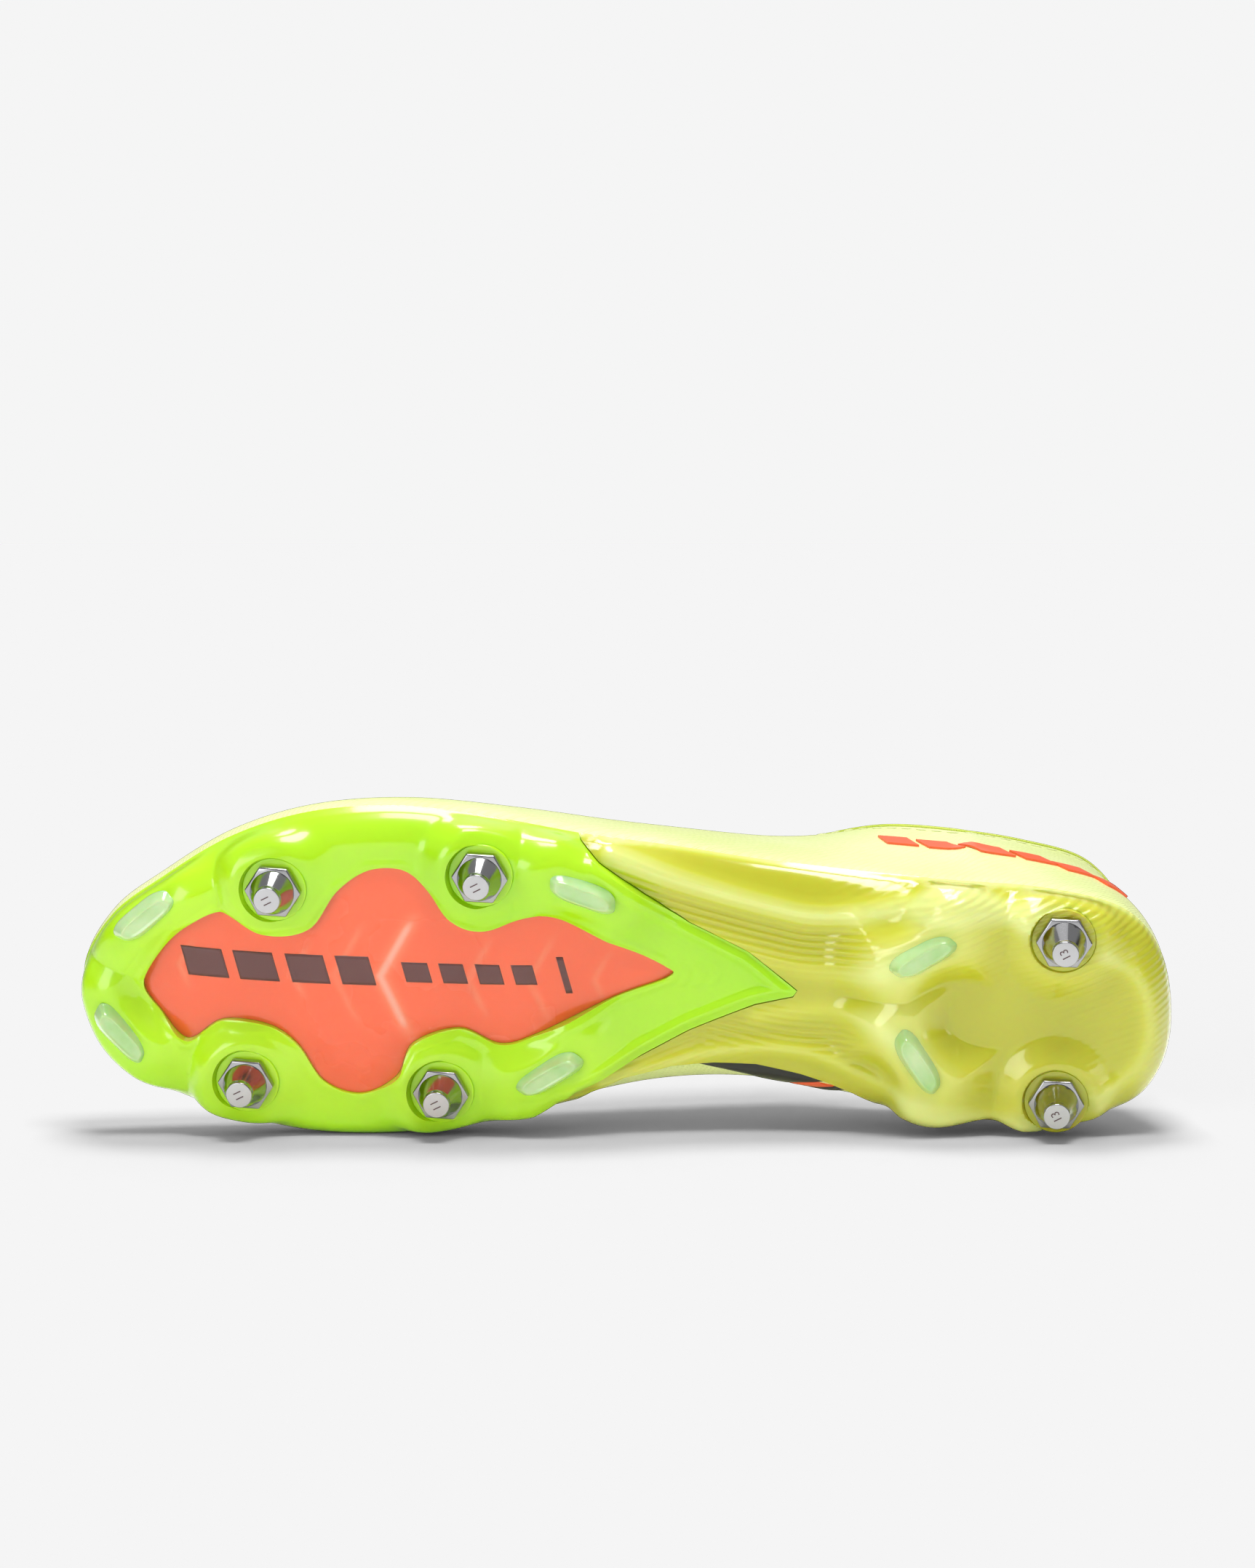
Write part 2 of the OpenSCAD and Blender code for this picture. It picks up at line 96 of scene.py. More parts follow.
MED = [
    [2.5, -22, 33, 10.5, -18, 79.5, 15, 1, 18, 10],
    [12, -32, 31, 21, -28.5, 77, 15, 2, 16, 10],
    [34, -37, 30, 39, -34, 71.5, 15, 3, 14, 9],
    [60, -37, 33, 60, -35.5, 70, 14, 4, 12, 8],
    [87, -34.3, 37, 80, -32, 75, 14, 6, 12, 8],
    [111, -31.6, 38, 96, -25, 86, 16, 9, 14, 9],
    [134, -32.3, 36, 107, -20, 92, 18, 16, 12, 10],
    [156, -36.4, 32, 120, -17, 88.5, 18, 20, 8, 11],
    [180, -42.5, 28, 135, -15.5, 83, 17, 25, 7, 12],
    [205, -46, 26, 149, -14.5, 77, 15, 30, 7, 12],
    [229, -46, 27, 160, -13, 72, 14, 34, 7, 12],
    [252, -41.5, 30, 168.5, -10.5, 68, 13, 38, 8, 12],
    [270, -35, 33, 174, -6.5, 65.2, 12, 44, 9, 12],
    [283.5, -24, 35.5, 175.5, -4, 64.2, 12, 48, 10, 12]]
SOLE = np.array([
    [-40, 18], [0, 17], [30, 16], [60, 17], [82, 20.5], [102, 23],
    [120, 22.5], [140, 19.5], [160, 16.3], [180, 14.4], [200, 14],
    [230, 14], [250, 16], [270, 20.5], [289, 27], [320, 40]], float)
WINDOW = [[271, -5], [262, 9], [251, 15.5], [240, 10.5], [228, 12],
          [221, 22], [213, 28], [204, 28.5], [197, 23.5], [191, 15.5],
          [182, 13], [168, 18], [155, 13], [136, 4], [133.5, 0.5],
          [148, -5], [167, -14.5], [177, -17.5], [188, -13.5],
          [200, -18], [204, -27], [213, -32], [223, -29], [230, -19.5],
          [238, -14.5], [250, -14], [259, -20], [266, -13.5]]
TAIL = [[176, -70], [173, -45], [167, -36.5], [157, -30], [141, -21],
        [128, -14], [111, -7], [101, -4.5], [100, -3], [113, 7],
        [129, 15], [142, 23.5], [153, 31], [158, 36], [162, 45],
        [168, 70]]
SCOOP = [[166, -60], [161, -37.5], [153, -31.5], [144.5, -26.8],
         [132, -23.6], [121, -22.9], [110, -23.2], [98, -25.4], [91, -27.3],
         [84, -30], [78, -33.4], [73, -37], [69, -60]]
# Studs: x, y, height, lean to the toe, lean to the lateral side.
STUDS = {"front_lateral": (237, 22.8, 11, 7, 1),
         "front_medial": (243, -29, 11, 8, -1),
         "mid_lateral": (183.5, 28.4, 11, 5, 0),
         "mid_medial": (192, -30, 11, 6, 0),
         "heel_lateral": (31.4, 16, 13, 1, 1),
         "heel_medial": (31.2, -27.4, 13, 2, 1)}
# Clear tips: x, y, height of the end, turn in plan.
TIPS = {"toe_lateral": (270.5, 13.2, 12.5, -43),
        "toe_medial": (276.5, -19.1, 13.5, 45),
        "mid_lateral": (157.2, 24.6, 8, 18),
        "mid_medial": (164.2, -24.2, 8, -34),
        "heel_lateral": (67.5, 11.1, 8, -34),
        "heel_medial": (67.8, -17.5, 8, 54)}
TIP_L, TIP_W, STUD_TIP_D, FLATS = 17, 5, 7, 13
PLATE_T, SHELL_D, SHELL_T, STIFF_D = 1.5, 1.6, 1.2, 2.9
LINING_D, LINING_T, SOCK_D, FOAM_T = 4.0, 0.8, 5.1, 3
LACE_W, LACE_T = 3.0, 1.2
E_W, E_Q = [7.9, 9.1, 10.3, 11.4, 12.4], 0.1
NS = len(LAT) - 1
NL = 2 * NS
ORIGIN_X = 144.5                 # half the length of the drawn last
SX, SY = 289 / 286.9, 91.5 / 89.2    # drawn last to real length, ball width


def flat(p):
    """Plan point of the drawn last, in the row frame."""
    return np.array([(p[0] - ORIGIN_X) * SX, p[1] * SY])


def own(r):
    return [*flat(r), r[2], *flat(r[3:5]), *r[5:]]


LOOP = np.array([own(r) for r in LAT + MED[::-1]], float)


def cr(a, b, c, d, t):
    """Catmull-Rom between b and c."""
    return b + 0.5 * t * ((c - a) + t * ((2 * a - 5 * b + 4 * c - d)
                                         + t * (3 * (b - c) + d - a)))


def lp(w):
    q = np.mod(w, NL)
    i = np.floor(q).astype(int) % NL
    t = (q - np.floor(q))[..., None]
    return cr(LOOP[i - 1], LOOP[i], LOOP[(i + 1) % NL], LOOP[(i + 2) % NL], t)


def sole_z(x):
    h = x / SX + 144.5
    i = np.clip(np.searchsorted(SOLE[:, 0], h, side="right") - 1, 1,
                len(SOLE) - 3)
    t = (h - SOLE[i, 0]) / (SOLE[i + 1, 0] - SOLE[i, 0])
    z = SOLE[:, 1]
    return cr(z[i - 1], z[i], z[i + 1], z[i + 2], t)


def unit(v):
    return v / np.maximum(np.linalg.norm(v, axis=-1, keepdims=True), 1e-9)


def side(w, q):
    """Outer face: q 0 at the rim, 1 at the widest line, 2 underneath."""
    w, q = np.broadcast_arrays(np.asarray(w, float), np.asarray(q, float))
    r = lp(w)
    o, e = r[..., 0:3], r[..., 3:6]
    out = o - e
    out[..., 2] = 0
    out = unit(out)
    t = np.clip(q, 0, 1)[..., None]
    p1 = e + out * r[..., 7:8]
    p1[..., 2] -= r[..., 8]
    p2 = o.copy()
    p2[..., 2] += r[..., 6]
    wall = (e * (1 - t) ** 3 + p1 * 3 * t * (1 - t) ** 2
            + p2 * 3 * t * t * (1 - t) + o * t ** 3)
    d = lp(w + 0.02) - lp(w - 0.02)
    n = unit(np.stack([d[..., 1], -d[..., 0]], -1))
    b = o[..., :2] + n * r[..., 9:10]
    f = np.radians((np.clip(q, 1, 2) - 1) * 90)
    c, s = np.cos(f)[..., None], np.sin(f)
    xy = b * (1 - c) + o[..., :2] * c
    z = o[..., 2] - (o[..., 2] - sole_z(b[..., 0])) * s
    roll = np.concatenate([xy, z[..., None]], -1)
    return np.where((q <= 1)[..., None], wall, roll)


def face_n(w, q):
    w, q = np.broadcast_arrays(np.asarray(w, float), np.asarray(q, float))
    return unit(np.cross(side(w + 0.02, q) - side(w - 0.02, q),
                         side(w, np.minimum(2, q + 0.02))
                         - side(w, np.maximum(0, q - 0.02))))


def sp(w, q, d):
    d = np.asarray(d, float)
    return side(w, q) - face_n(w, q) * (d[..., None] if d.ndim else d)


def under(u, v):
    """Point and normal right across the sole: v 0..2, 2..3, 3..5."""
    u, v = np.broadcast_arrays(np.asarray(u, float), np.asarray(v, float))
    lw, mw = u, NL - u
    lq, mq = np.minimum(v, 2), np.minimum(5 - v, 2)
    t = np.clip(v - 2, 0, 1)[..., None]
    p = side(lw, lq) * (1 - t) + side(mw, mq) * t
    n = unit(face_n(lw, lq) * (1 - t) + face_n(mw, mq) * t)
    return p, n


def pad(w, q):
    """Extra depth of the padded collar."""
    k = np.mod(w + NS, NL) - NS

    def bump(x, a, b):
        s = np.sin(np.pi * (x - a) / (b - a)) ** 2
        return np.where((x > a) & (x < b), s, 0)
    return 3.2 * bump(q, -0.06, 0.42) * bump(k, -7.4, 7.4) / (
        1 + 0.5 * bump(k, -3, 3))


# ------------------------------------------------------------- mesh tools
def link(name, mesh, mat, body=BOOT, smooth=True):
    ob = helper(name, mesh)
    if mat:
        mesh.materials.append(mat)
    if smooth:
        mesh.shade_smooth()
    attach(ob, body)
    return ob


def outward(bm):
    """Turn all faces to the outside; thin layers can fool the first step."""
    bmesh.ops.recalc_face_normals(bm, faces=bm.faces)
    if bm.calc_volume(signed=True) < 0:
        bmesh.ops.reverse_faces(bm, faces=bm.faces)


def baked(bm, name):
    """The bmesh as a new mesh."""
    me = bpy.data.meshes.new(name)
    bm.to_mesh(me)
    bm.free()
    return me


def crisp(ob, degrees):
    """Smooth shading that stays sharp over the given angle."""
    ob.data.shade_smooth()
    ob.data.set_sharp_from_angle(angle=math.radians(degrees))


def mesh_of(name, verts, faces, merge=0.0):
    me = bpy.data.meshes.new(name)
    me.from_pydata((np.asarray(verts) * MM).tolist(), [], faces)
    bm = bmesh.new()
    bm.from_mesh(me)
    if merge:
        bmesh.ops.remove_doubles(bm, verts=bm.verts, dist=merge * MM)
    outward(bm)
    bm.to_mesh(me)
    bm.free()
    return me


def slab(name, A, B, loop=False, cap0=True, cap1=True, attr=None):
    """Closed solid between two grids of points, as in the CAD source."""
    n, m = A.shape[:2]
    k = n * m
    faces = []
    for i in range(n if loop else n - 1):
        h = (i + 1) % n
        for j in range(m - 1):
            a, b, c, d = i * m + j, i * m + j + 1, h * m + j + 1, h * m + j
            faces += [(a, b, c, d), (k + a, k + d, k + c, k + b)]
        for j in (0, m - 1):
            a, d = i * m + j, h * m + j
            faces.append((a, d, k + d, k + a) if j == 0
                         else (a, k + a, k + d, d))
    for j in range(m - 1):
        if not loop and cap0:
            faces.append((j, k + j, k + j + 1, j + 1))
        if not loop and cap1:
            z = (n - 1) * m
            faces.append((z + j, z + j + 1, k + z + j + 1, k + z + j))
    verts = np.concatenate([A.reshape(-1, 3), B.reshape(-1, 3)])
    me = bpy.data.meshes.new(name)
    me.from_pydata((verts * MM).tolist(), [], faces)
    if attr is not None:
        layer = me.attributes.new("painted_highlight", "FLOAT", "POINT")
        flat_a = attr.reshape(-1)
        layer.data.foreach_set("value", np.concatenate([flat_a, flat_a]))
    bm = bmesh.new()
    bm.from_mesh(me)
    bmesh.ops.remove_doubles(bm, verts=bm.verts, dist=0.002 * MM)
    bmesh.ops.dissolve_degenerate(bm, edges=bm.edges, dist=1e-7)
    outward(bm)
    bm.to_mesh(me)
    bm.free()
    return me


def boolean(ob, cutter, op="DIFFERENCE"):
    """Apply one boolean and drop the cutter."""
    mod = ob.modifiers.new("cut", "BOOLEAN")
    mod.operation, mod.object, mod.solver = op, cutter, "EXACT"
    dg = bpy.context.evaluated_depsgraph_get()
    me = bpy.data.meshes.new_from_object(ob.evaluated_get(dg))
    ob.modifiers.remove(mod)
    old = ob.data
    ob.data = me
    bpy.data.meshes.remove(old)
    bpy.data.objects.remove(cutter)


def helper(name, mesh):
    ob = bpy.data.objects.new(name, mesh)
    bpy.context.scene.collection.objects.link(ob)
    return ob


def curve_ring(points, k=8):
    """Smooth closed outline through plan points of the drawn last."""
    p = np.array([flat(q) for q in points])
    n = len(p)
    t = np.arange(k)[:, None] / k
    return np.concatenate([cr(p[i - 1], p[i], p[(i + 1) % n],
                              p[(i + 2) % n], t) for i in range(n)])


def grow(ring, d):
    """Offset of a closed plan outline (counter-clockwise or not)."""
    t = unit(np.roll(ring, -1, 0) - np.roll(ring, 1, 0))
    area = np.sum(ring[:, 0] * np.roll(ring[:, 1], -1)
                  - ring[:, 1] * np.roll(ring[:, 0], -1))
    s = 1 if area > 0 else -1
    return ring + s * d * np.stack([t[:, 1], -t[:, 0]], -1)


def prism(name, ring, z0=-5, z1=60):
    n = len(ring)
    v = [(*p, z0) for p in ring] + [(*p, z1) for p in ring]
    f = [tuple(range(n))[::-1], tuple(range(n, 2 * n))]
    f += [(i, (i + 1) % n, n + (i + 1) % n, n + i) for i in range(n)]
    return helper(name, mesh_of(name, v, f))


def lathe(name, prof, seg=72):
    """Solid of revolution of an (r, z) profile round local Z."""
    prof = np.array(prof, float)
    m = len(prof)
    a = np.arange(seg) * 2 * np.pi / seg
    v = np.stack([prof[None, :, 0] * np.cos(a)[:, None],
                  prof[None, :, 0] * np.sin(a)[:, None],
                  np.broadcast_to(prof[None, :, 1], (seg, m))], -1)
    f = []
    for i in range(seg):
        h = (i + 1) % seg
        f += [(i * m + j, i * m + j + 1, h * m + j + 1, h * m + j)
              for j in range(m - 1)]
    return mesh_of(name, v.reshape(-1, 3), f, merge=0.001)


def rounded(prof, r=0.25, k=4):
    """Round the inner corners of a profile."""
    p = np.array(prof, float)
    out = [p[0]]
    for i in range(1, len(p) - 1):
        a, b = unit(p[i - 1] - p[i]), unit(p[i + 1] - p[i])
        s = min(r, 0.45 * np.linalg.norm(p[i - 1] - p[i]),
                0.45 * np.linalg.norm(p[i + 1] - p[i]))
        for t in np.linspace(0, 1, k + 1):
            out.append((1 - t) ** 2 * (p[i] + a * s)
                       + 2 * t * (1 - t) * p[i] + t * t * (p[i] + b * s))
    return out + [p[-1]]


def stud_matrix(s):
    """A stud's own frame: seat at 0, ground end along -Z, metres."""
    a = math.radians(s[3])
    z = s[2] * math.cos(a) + STUD_TIP_D / 2 * math.sin(a)
    return (Matrix.Translation(Vector((*flat(s), z)) * MM)
            @ Matrix.Rotation(-a, 4, "Y")
            @ Matrix.Rotation(math.radians(s[4]), 4, "X"))


def tip_matrix(t):
    return (Matrix.Translation(Vector((*flat(t), t[2])) * MM)
            @ Matrix.Rotation(math.radians(t[3]), 4, "Z"))


# -------------------------------------------------------------- materials
class Mat:
    """A Principled material with helpers for procedural detail."""

    def __init__(self, name, color, rough=0.5, metal=0.0, **socks):
        self.mat = bpy.data.materials.new(name)
        self.mat.use_nodes = True
        self.nt = self.mat.node_tree
        self.b = self.nt.nodes["Principled BSDF"]
        self.b.inputs["Base Color"].default_value = (*color, 1)
        self.b.inputs["Roughness"].default_value = rough
        self.b.inputs["Metallic"].default_value = metal
        for k, v in socks.items():
            self.b.inputs[k.replace("_", " ")].default_value = v
        self.co = self.node("ShaderNodeTexCoord").outputs["Object"]

    def node(self, kind, **props):
        n = self.nt.nodes.new(kind)
        for k, v in props.items():
            setattr(n, k, v)
        return n

    def link(self, a, b):
        self.nt.links.new(a, b)

    def mapped(self, turn=(0, 0, 0), scale=(1, 1, 1)):
        m = self.node("ShaderNodeMapping")
        m.inputs["Rotation"].default_value = [math.radians(t) for t in turn]
        m.inputs["Scale"].default_value = scale
        self.link(self.co, m.inputs["Vector"])
        return m.outputs["Vector"]

    def noise(self, scale, detail=3, vector=None):
        n = self.node("ShaderNodeTexNoise")
        n.inputs["Scale"].default_value = scale
        n.inputs["Detail"].default_value = detail
        self.link(vector or self.co, n.inputs["Vector"])
        return n.outputs["Fac"]

    def wave(self, scale, distort=0.0, vector=None, profile="SIN"):
        n = self.node("ShaderNodeTexWave", wave_profile=profile)
        n.inputs["Scale"].default_value = scale
        n.inputs["Distortion"].default_value = distort
        n.inputs["Detail Scale"].default_value = 0.6
        self.link(vector or self.co, n.inputs["Vector"])
        return n.outputs["Fac"]

    def math(self, op, a, b=None, clamp=False):
        n = self.node("ShaderNodeMath", operation=op, use_clamp=clamp)
        for i, x in enumerate((a, b)):
            if x is None:
                continue
            if isinstance(x, (int, float)):
                n.inputs[i].default_value = x
            else:
                self.link(x, n.inputs[i])
        return n.outputs[0]

    def attr(self, name):
        return self.node("ShaderNodeAttribute",
                         attribute_name=name).outputs["Fac"]

    def ramp(self, fac, stops):
        n = self.node("ShaderNodeValToRGB")
        e = n.color_ramp.elements
        while len(e) < len(stops):
            e.new(0.5)
        for s, (pos, col) in zip(e, stops):
            s.position = pos
            s.color = (*col, 1)
        self.link(fac, n.inputs["Fac"])
        return n.outputs["Color"]

    def tone(self, fac, lo, hi):
        self.color(self.ramp(fac, [(0.3, lo), (0.7, hi)]))

    def color(self, out):
        self.link(out, self.b.inputs["Base Color"])

    def rough(self, fac, lo, hi):
        n = self.node("ShaderNodeMapRange")
        n.inputs["To Min"].default_value = lo
        n.inputs["To Max"].default_value = hi
        self.link(fac, n.inputs["Value"])
        self.link(n.outputs["Result"], self.b.inputs["Roughness"])

    def bump(self, height, strength=0.5, dist=0.2):
        n = self.node("ShaderNodeBump")
        n.inputs["Strength"].default_value = strength
        n.inputs["Distance"].default_value = dist * MM
        self.link(height, n.inputs["Height"])
        old = self.b.inputs["Normal"].links
        if old:
            self.link(old[0].from_socket, n.inputs["Normal"])
        self.link(n.outputs["Normal"], self.b.inputs["Normal"])


def make_materials():
    m = {}
    a = Mat("lime_plate", (0.42, 0.80, 0.012), 0.22, Coat_Weight=0.5,
            Coat_Roughness=0.08, Subsurface_Weight=0.15,
            Subsurface_Scale=0.003)
    f = a.noise(14, 2)
    a.tone(f, (0.37, 0.76, 0.003), (0.50, 0.86, 0.008))
    a.rough(a.noise(60, 4), 0.16, 0.3)
    a.bump(a.noise(900, 2), 0.12, 0.05)
    m["lime"] = a.mat

    a = Mat("clear_plate", (0.62, 0.6, 0.06), 0.16, Coat_Weight=0.6,
            Coat_Roughness=0.05, Subsurface_Weight=0.35,
            Subsurface_Scale=0.006)
    # Clear plate colour from the stored tone plus a random mottle: paler on
    # the raised folds, ramps and rim as painted highlight, the plain
    # yellow-olive elsewhere.
    deep = a.math("ADD", a.attr("painted_highlight"), a.math("MULTIPLY", a.noise(18, 3),
                                                 0.35))
    a.color(a.ramp(deep, [(0.1, (0.50, 0.49, 0.012)),
                          (0.45, (0.61, 0.62, 0.04)),
                          (0.95, (0.76, 0.82, 0.26))]))
    ribs = a.wave(170, 1.0, a.mapped((0, 0, 112)))
    fade = a.ramp(a.noise(9, 1), [(0.4, (0, 0, 0)), (0.6, (1, 1, 1))])
    a.bump(a.math("MULTIPLY", ribs, fade), 0.55, 0.35)
    a.rough(a.noise(45, 3), 0.12, 0.26)
    m["clear"] = a.mat

    a = Mat("air_orange", (0.93, 0.13, 0.05), 0.25, Coat_Weight=0.8,
            Coat_Roughness=0.05, Subsurface_Weight=0.25,
            Subsurface_Scale=0.004)
    # Paler orange along the creases: painted highlight.
    a.color(a.ramp(a.attr("painted_highlight"), [(0.0, (1.0, 0.125, 0.03)),
                                      (0.55, (1.0, 0.20, 0.08)),
                                      (1.0, (0.98, 0.42, 0.3))]))
    a.rough(a.noise(40, 3), 0.18, 0.34)
    a.bump(a.noise(120, 3), 0.1, 0.1)
    m["air"] = a.mat

    a = Mat("clear_film", (1, 0.25, 0.1), 0.08, Alpha=0.03, IOR=1.4,
            Coat_Weight=0.6, Coat_Roughness=0.04)
    a.rough(a.noise(70, 2), 0.05, 0.14)
    m["film"] = a.mat

    a = Mat("print_dark", (0.09, 0.045, 0.05), 0.35)
    a.rough(a.noise(300, 2), 0.28, 0.45)
    m["print"] = a.mat

    a = Mat("steel", (0.36, 0.36, 0.37), 0.14, 1.0)
    a.rough(a.noise(700, 4, a.mapped(scale=(1, 1, 14))), 0.06, 0.2)
    a.bump(a.noise(1800, 2, a.mapped(scale=(1, 1, 22))), 0.08, 0.02)
    m["steel"] = a.mat
    a = Mat("steel_worn", (0.50, 0.50, 0.51), 0.42, 1.0)
    a.rough(a.noise(1500, 3), 0.32, 0.5)
    a.bump(a.wave(900, 3.0, a.mapped((0, 0, 35))), 0.15, 0.02)
    m["worn"] = a.mat

    a = Mat("tip_clear", (0.5, 0.84, 0.42), 0.2, Subsurface_Weight=0.4,
            Subsurface_Scale=0.004, Transmission_Weight=0.25,
            Coat_Weight=0.8, Coat_Roughness=0.06)
    a.tone(a.noise(110, 3), (0.46, 0.78, 0.28), (0.70, 0.92, 0.50))
    a.rough(a.noise(90, 3), 0.12, 0.3)
    m["tip"] = a.mat

    a = Mat("knit", (0.84, 0.92, 0.42), 0.45, Sheen_Weight=0.15,
            Coat_Weight=0.2, Coat_Roughness=0.25)
    a.tone(a.noise(25, 4), (0.74, 0.84, 0.28), (0.84, 0.90, 0.44))
    scale_a = a.wave(330, 2.5, a.mapped((20, 0, 65)))
    scale_b = a.wave(420, 2.0, a.mapped((-25, 10, -50)))
    tex = a.math("MULTIPLY", scale_a, scale_b)
    a.bump(tex, 0.6, 0.3)
    a.rough(tex, 0.36, 0.58)
    m["knit"] = a.mat

    def cloth(name, lo, hi, pitch, rough=0.8):
        c = Mat(name, lo, rough, Sheen_Weight=0.3)
        c.tone(c.noise(pitch / 12, 4), lo, hi)
        weave = c.math("MAXIMUM", c.wave(pitch, 0.6, c.mapped((0, 0, 45))),
                       c.wave(pitch, 0.6, c.mapped((0, 0, -45))))
        c.bump(weave, 0.5, 0.2)
        return c.mat
    m["lining"] = cloth("lining", (0.66, 0.74, 0.30), (0.74, 0.80, 0.38), 480)
    m["binding"] = cloth("binding", (0.52, 0.64, 0.05), (0.60, 0.70, 0.09),
                         620, 0.7)
    m["tongue"] = cloth("tongue_knit", (0.74, 0.86, 0.26),
                        (0.82, 0.90, 0.36), 360)
    m["lace"] = cloth("lace_cord", (0.50, 0.72, 0.03), (0.60, 0.80, 0.06),
                      700, 0.65)
    m["thread"] = cloth("thread", (0.80, 0.86, 0.45), (0.86, 0.9, 0.5), 1500)
    m["foam"] = cloth("foam", (0.82, 0.76, 0.5), (0.88, 0.82, 0.58), 700)
    m["sock_foam"] = cloth("sock_foam", (0.62, 0.12, 0.03),
                           (0.72, 0.17, 0.05), 800)
    m["sock"] = cloth("sock_cover", (0.008, 0.008, 0.009),
                      (0.02, 0.02, 0.022), 420)
    m["board"] = cloth("board", (0.6, 0.57, 0.48), (0.68, 0.65, 0.56), 260)

    a = Mat("stiffener", (0.5, 0.5, 0.47), 0.5)
    a.bump(a.noise(500, 3), 0.3, 0.1)
    m["stiff"] = a.mat
    a = Mat("eyestay", (0.70, 0.82, 0.16), 0.28, Coat_Weight=0.4,
            Coat_Roughness=0.15)
    a.tone(a.noise(30, 2), (0.66, 0.78, 0.12), (0.76, 0.86, 0.22))
    a.bump(a.noise(1300, 2), 0.2, 0.05)
    m["eyestay"] = a.mat
    a = Mat("panel_black", (0.008, 0.008, 0.009), 0.32, Coat_Weight=0.3)
    a.rough(a.noise(220, 3), 0.26, 0.42)
    a.bump(a.noise(900, 2), 0.15, 0.05)
    m["black"] = a.mat
    a = Mat("panel_orange", (0.93, 0.12, 0.035), 0.35, Coat_Weight=0.3)
    a.rough(a.noise(220, 3), 0.3, 0.45)
    a.bump(a.noise(900, 2), 0.15, 0.05)
    m["orange"] = a.mat
    return m


M = make_materials()


# ------------------------------------------------------------- the sole
def rows_cols(a, b):
    """Grid with a down the rows and b across."""
    return np.meshgrid(a, b, indexing="ij")


def smooth(t):
    t = np.clip(t, 0, 1)
    return t * t * (3 - 2 * t)


def seg_dist(x, y, pts, soft=False):
    """Distance from plan points to a polyline of the drawn last."""
    best = np.full(np.shape(x), 1e9)
    p = np.array([flat(q) for q in pts])
    if soft:
        e = np.concatenate([2 * p[:1] - p[1:2], p, 2 * p[-1:] - p[-2:-1]])
        t = np.arange(5)[:, None] / 5
        p = np.concatenate([cr(e[i], e[i + 1], e[i + 2], e[i + 3], t)
                            for i in range(len(p) - 1)] + [p[-1:]])
    for a, b in zip(p[:-1], p[1:]):
        d = b - a
        t = np.clip(((x - a[0]) * d[0] + (y - a[1]) * d[1]) / (d @ d), 0, 1)
        best = np.minimum(best, np.hypot(x - a[0] - t * d[0],
                                         y - a[1] - t * d[1]))
    return best


def mounds(x, y, tips, studs):
    """Height of the ramps under the tips and the pads round the studs."""
    h = np.zeros(np.shape(x))
    for k in tips:
        t = TIPS[k]
        c, s = flat(t), math.radians(t[3])
        dx, dy = x - c[0], y - c[1]
        a = dx * math.cos(s) + dy * math.sin(s)
        b = -dx * math.sin(s) + dy * math.cos(s)
        la, lb = TIP_L / 2 - 1.0, 0.6
        d = np.hypot(np.maximum(abs(a) - la, 0), np.maximum(abs(b) - lb, 0))
        top = float(sole_z(np.array(c[0]))) - t[2] - 3.3
        run = 8.5 + 4.5 * np.clip(abs(a) / la, 0, 1.4) ** 2
        hk = top * smooth(1 - np.maximum(d - 3.3, 0) / run) ** 1.15
        h = np.maximum(h, hk) + 0.25 * np.minimum(h, hk)
    for k in studs:
        s = STUDS[k]
        c = flat(s)
        r = np.hypot(x - c[0], y - c[1])
        a = math.radians(s[3])
        seat = s[2] * math.cos(a) + STUD_TIP_D / 2 * math.sin(a)
        top = float(sole_z(np.array(c[0]))) - seat + 0.5
        tilt = (x - c[0]) * math.tan(a)
        hk = (top + np.where(r < 14, tilt, tilt * 14 / np.maximum(r, 14))
              ) * smooth(1 - (r - 9.6) / 9.5) ** 1.2
        h = np.maximum(h, hk) + 0.2 * np.minimum(h, np.maximum(hk, 0))
    return h


def plate(name, u0, u1, nu, nv, tips, studs, extra, cuts, mat, node):
    u, v = rows_cols(np.linspace(u0, u1, nu), np.linspace(1.28, 3.72, nv))
    p, n = under(u, v)
    edge = smooth((v - 1.28) / 0.18) * smooth((3.72 - v) / 0.18)
    h = mounds(p[..., 0], p[..., 1], tips, studs)
    soft = smooth((v - 1.3) / 0.36) * smooth((3.7 - v) / 0.36)
    h = h * soft + extra(p[..., 0], p[..., 1]) * edge
    rim = 0.35 * (1 - edge)
    # Colour tone stored on the mesh: higher on the folds and ribs, on the
    # ramps round the tips and studs, and along the rim. The clear plate is
    # painted paler there: painted highlight.
    tone = extra(p[..., 0], p[..., 1]) / 2.6 + 0.07 * h + 0.6 * (1 - edge)
    A = p + n * (h - rim)[..., None]
    me = slab(name, A, p - n * PLATE_T, cap0=u0 > 0, cap1=u1 < NS,
              attr=np.clip(tone, 0, 1))
    ob = link(name, me, mat)
    for ring, op in cuts:
        boolean(ob, prism("cutter", ring), op)
    for k in studs:
        cut = helper("cutter", lathe("cutter", [
            (0, -8), (9.6, -8), (9.0, -0.7), (8.5, -0.1), (8.4, 9),
            (0, 9)], 64))
        cut.data.transform(stud_matrix(STUDS[k]))
        boolean(ob, cut)
    crisp(ob, 42)
    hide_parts(node)
    for k in studs:
        prof = rounded([(4.9, 4.5), (4.9, 0), (8.45, 0), (8.45, 4.5),
                        (4.9, 4.5)], 0.3)
        me = lathe("ring_" + k, prof)
        me.transform(stud_matrix(STUDS[k]))
        ring = link("ring_" + k, me, mat)
    return ob


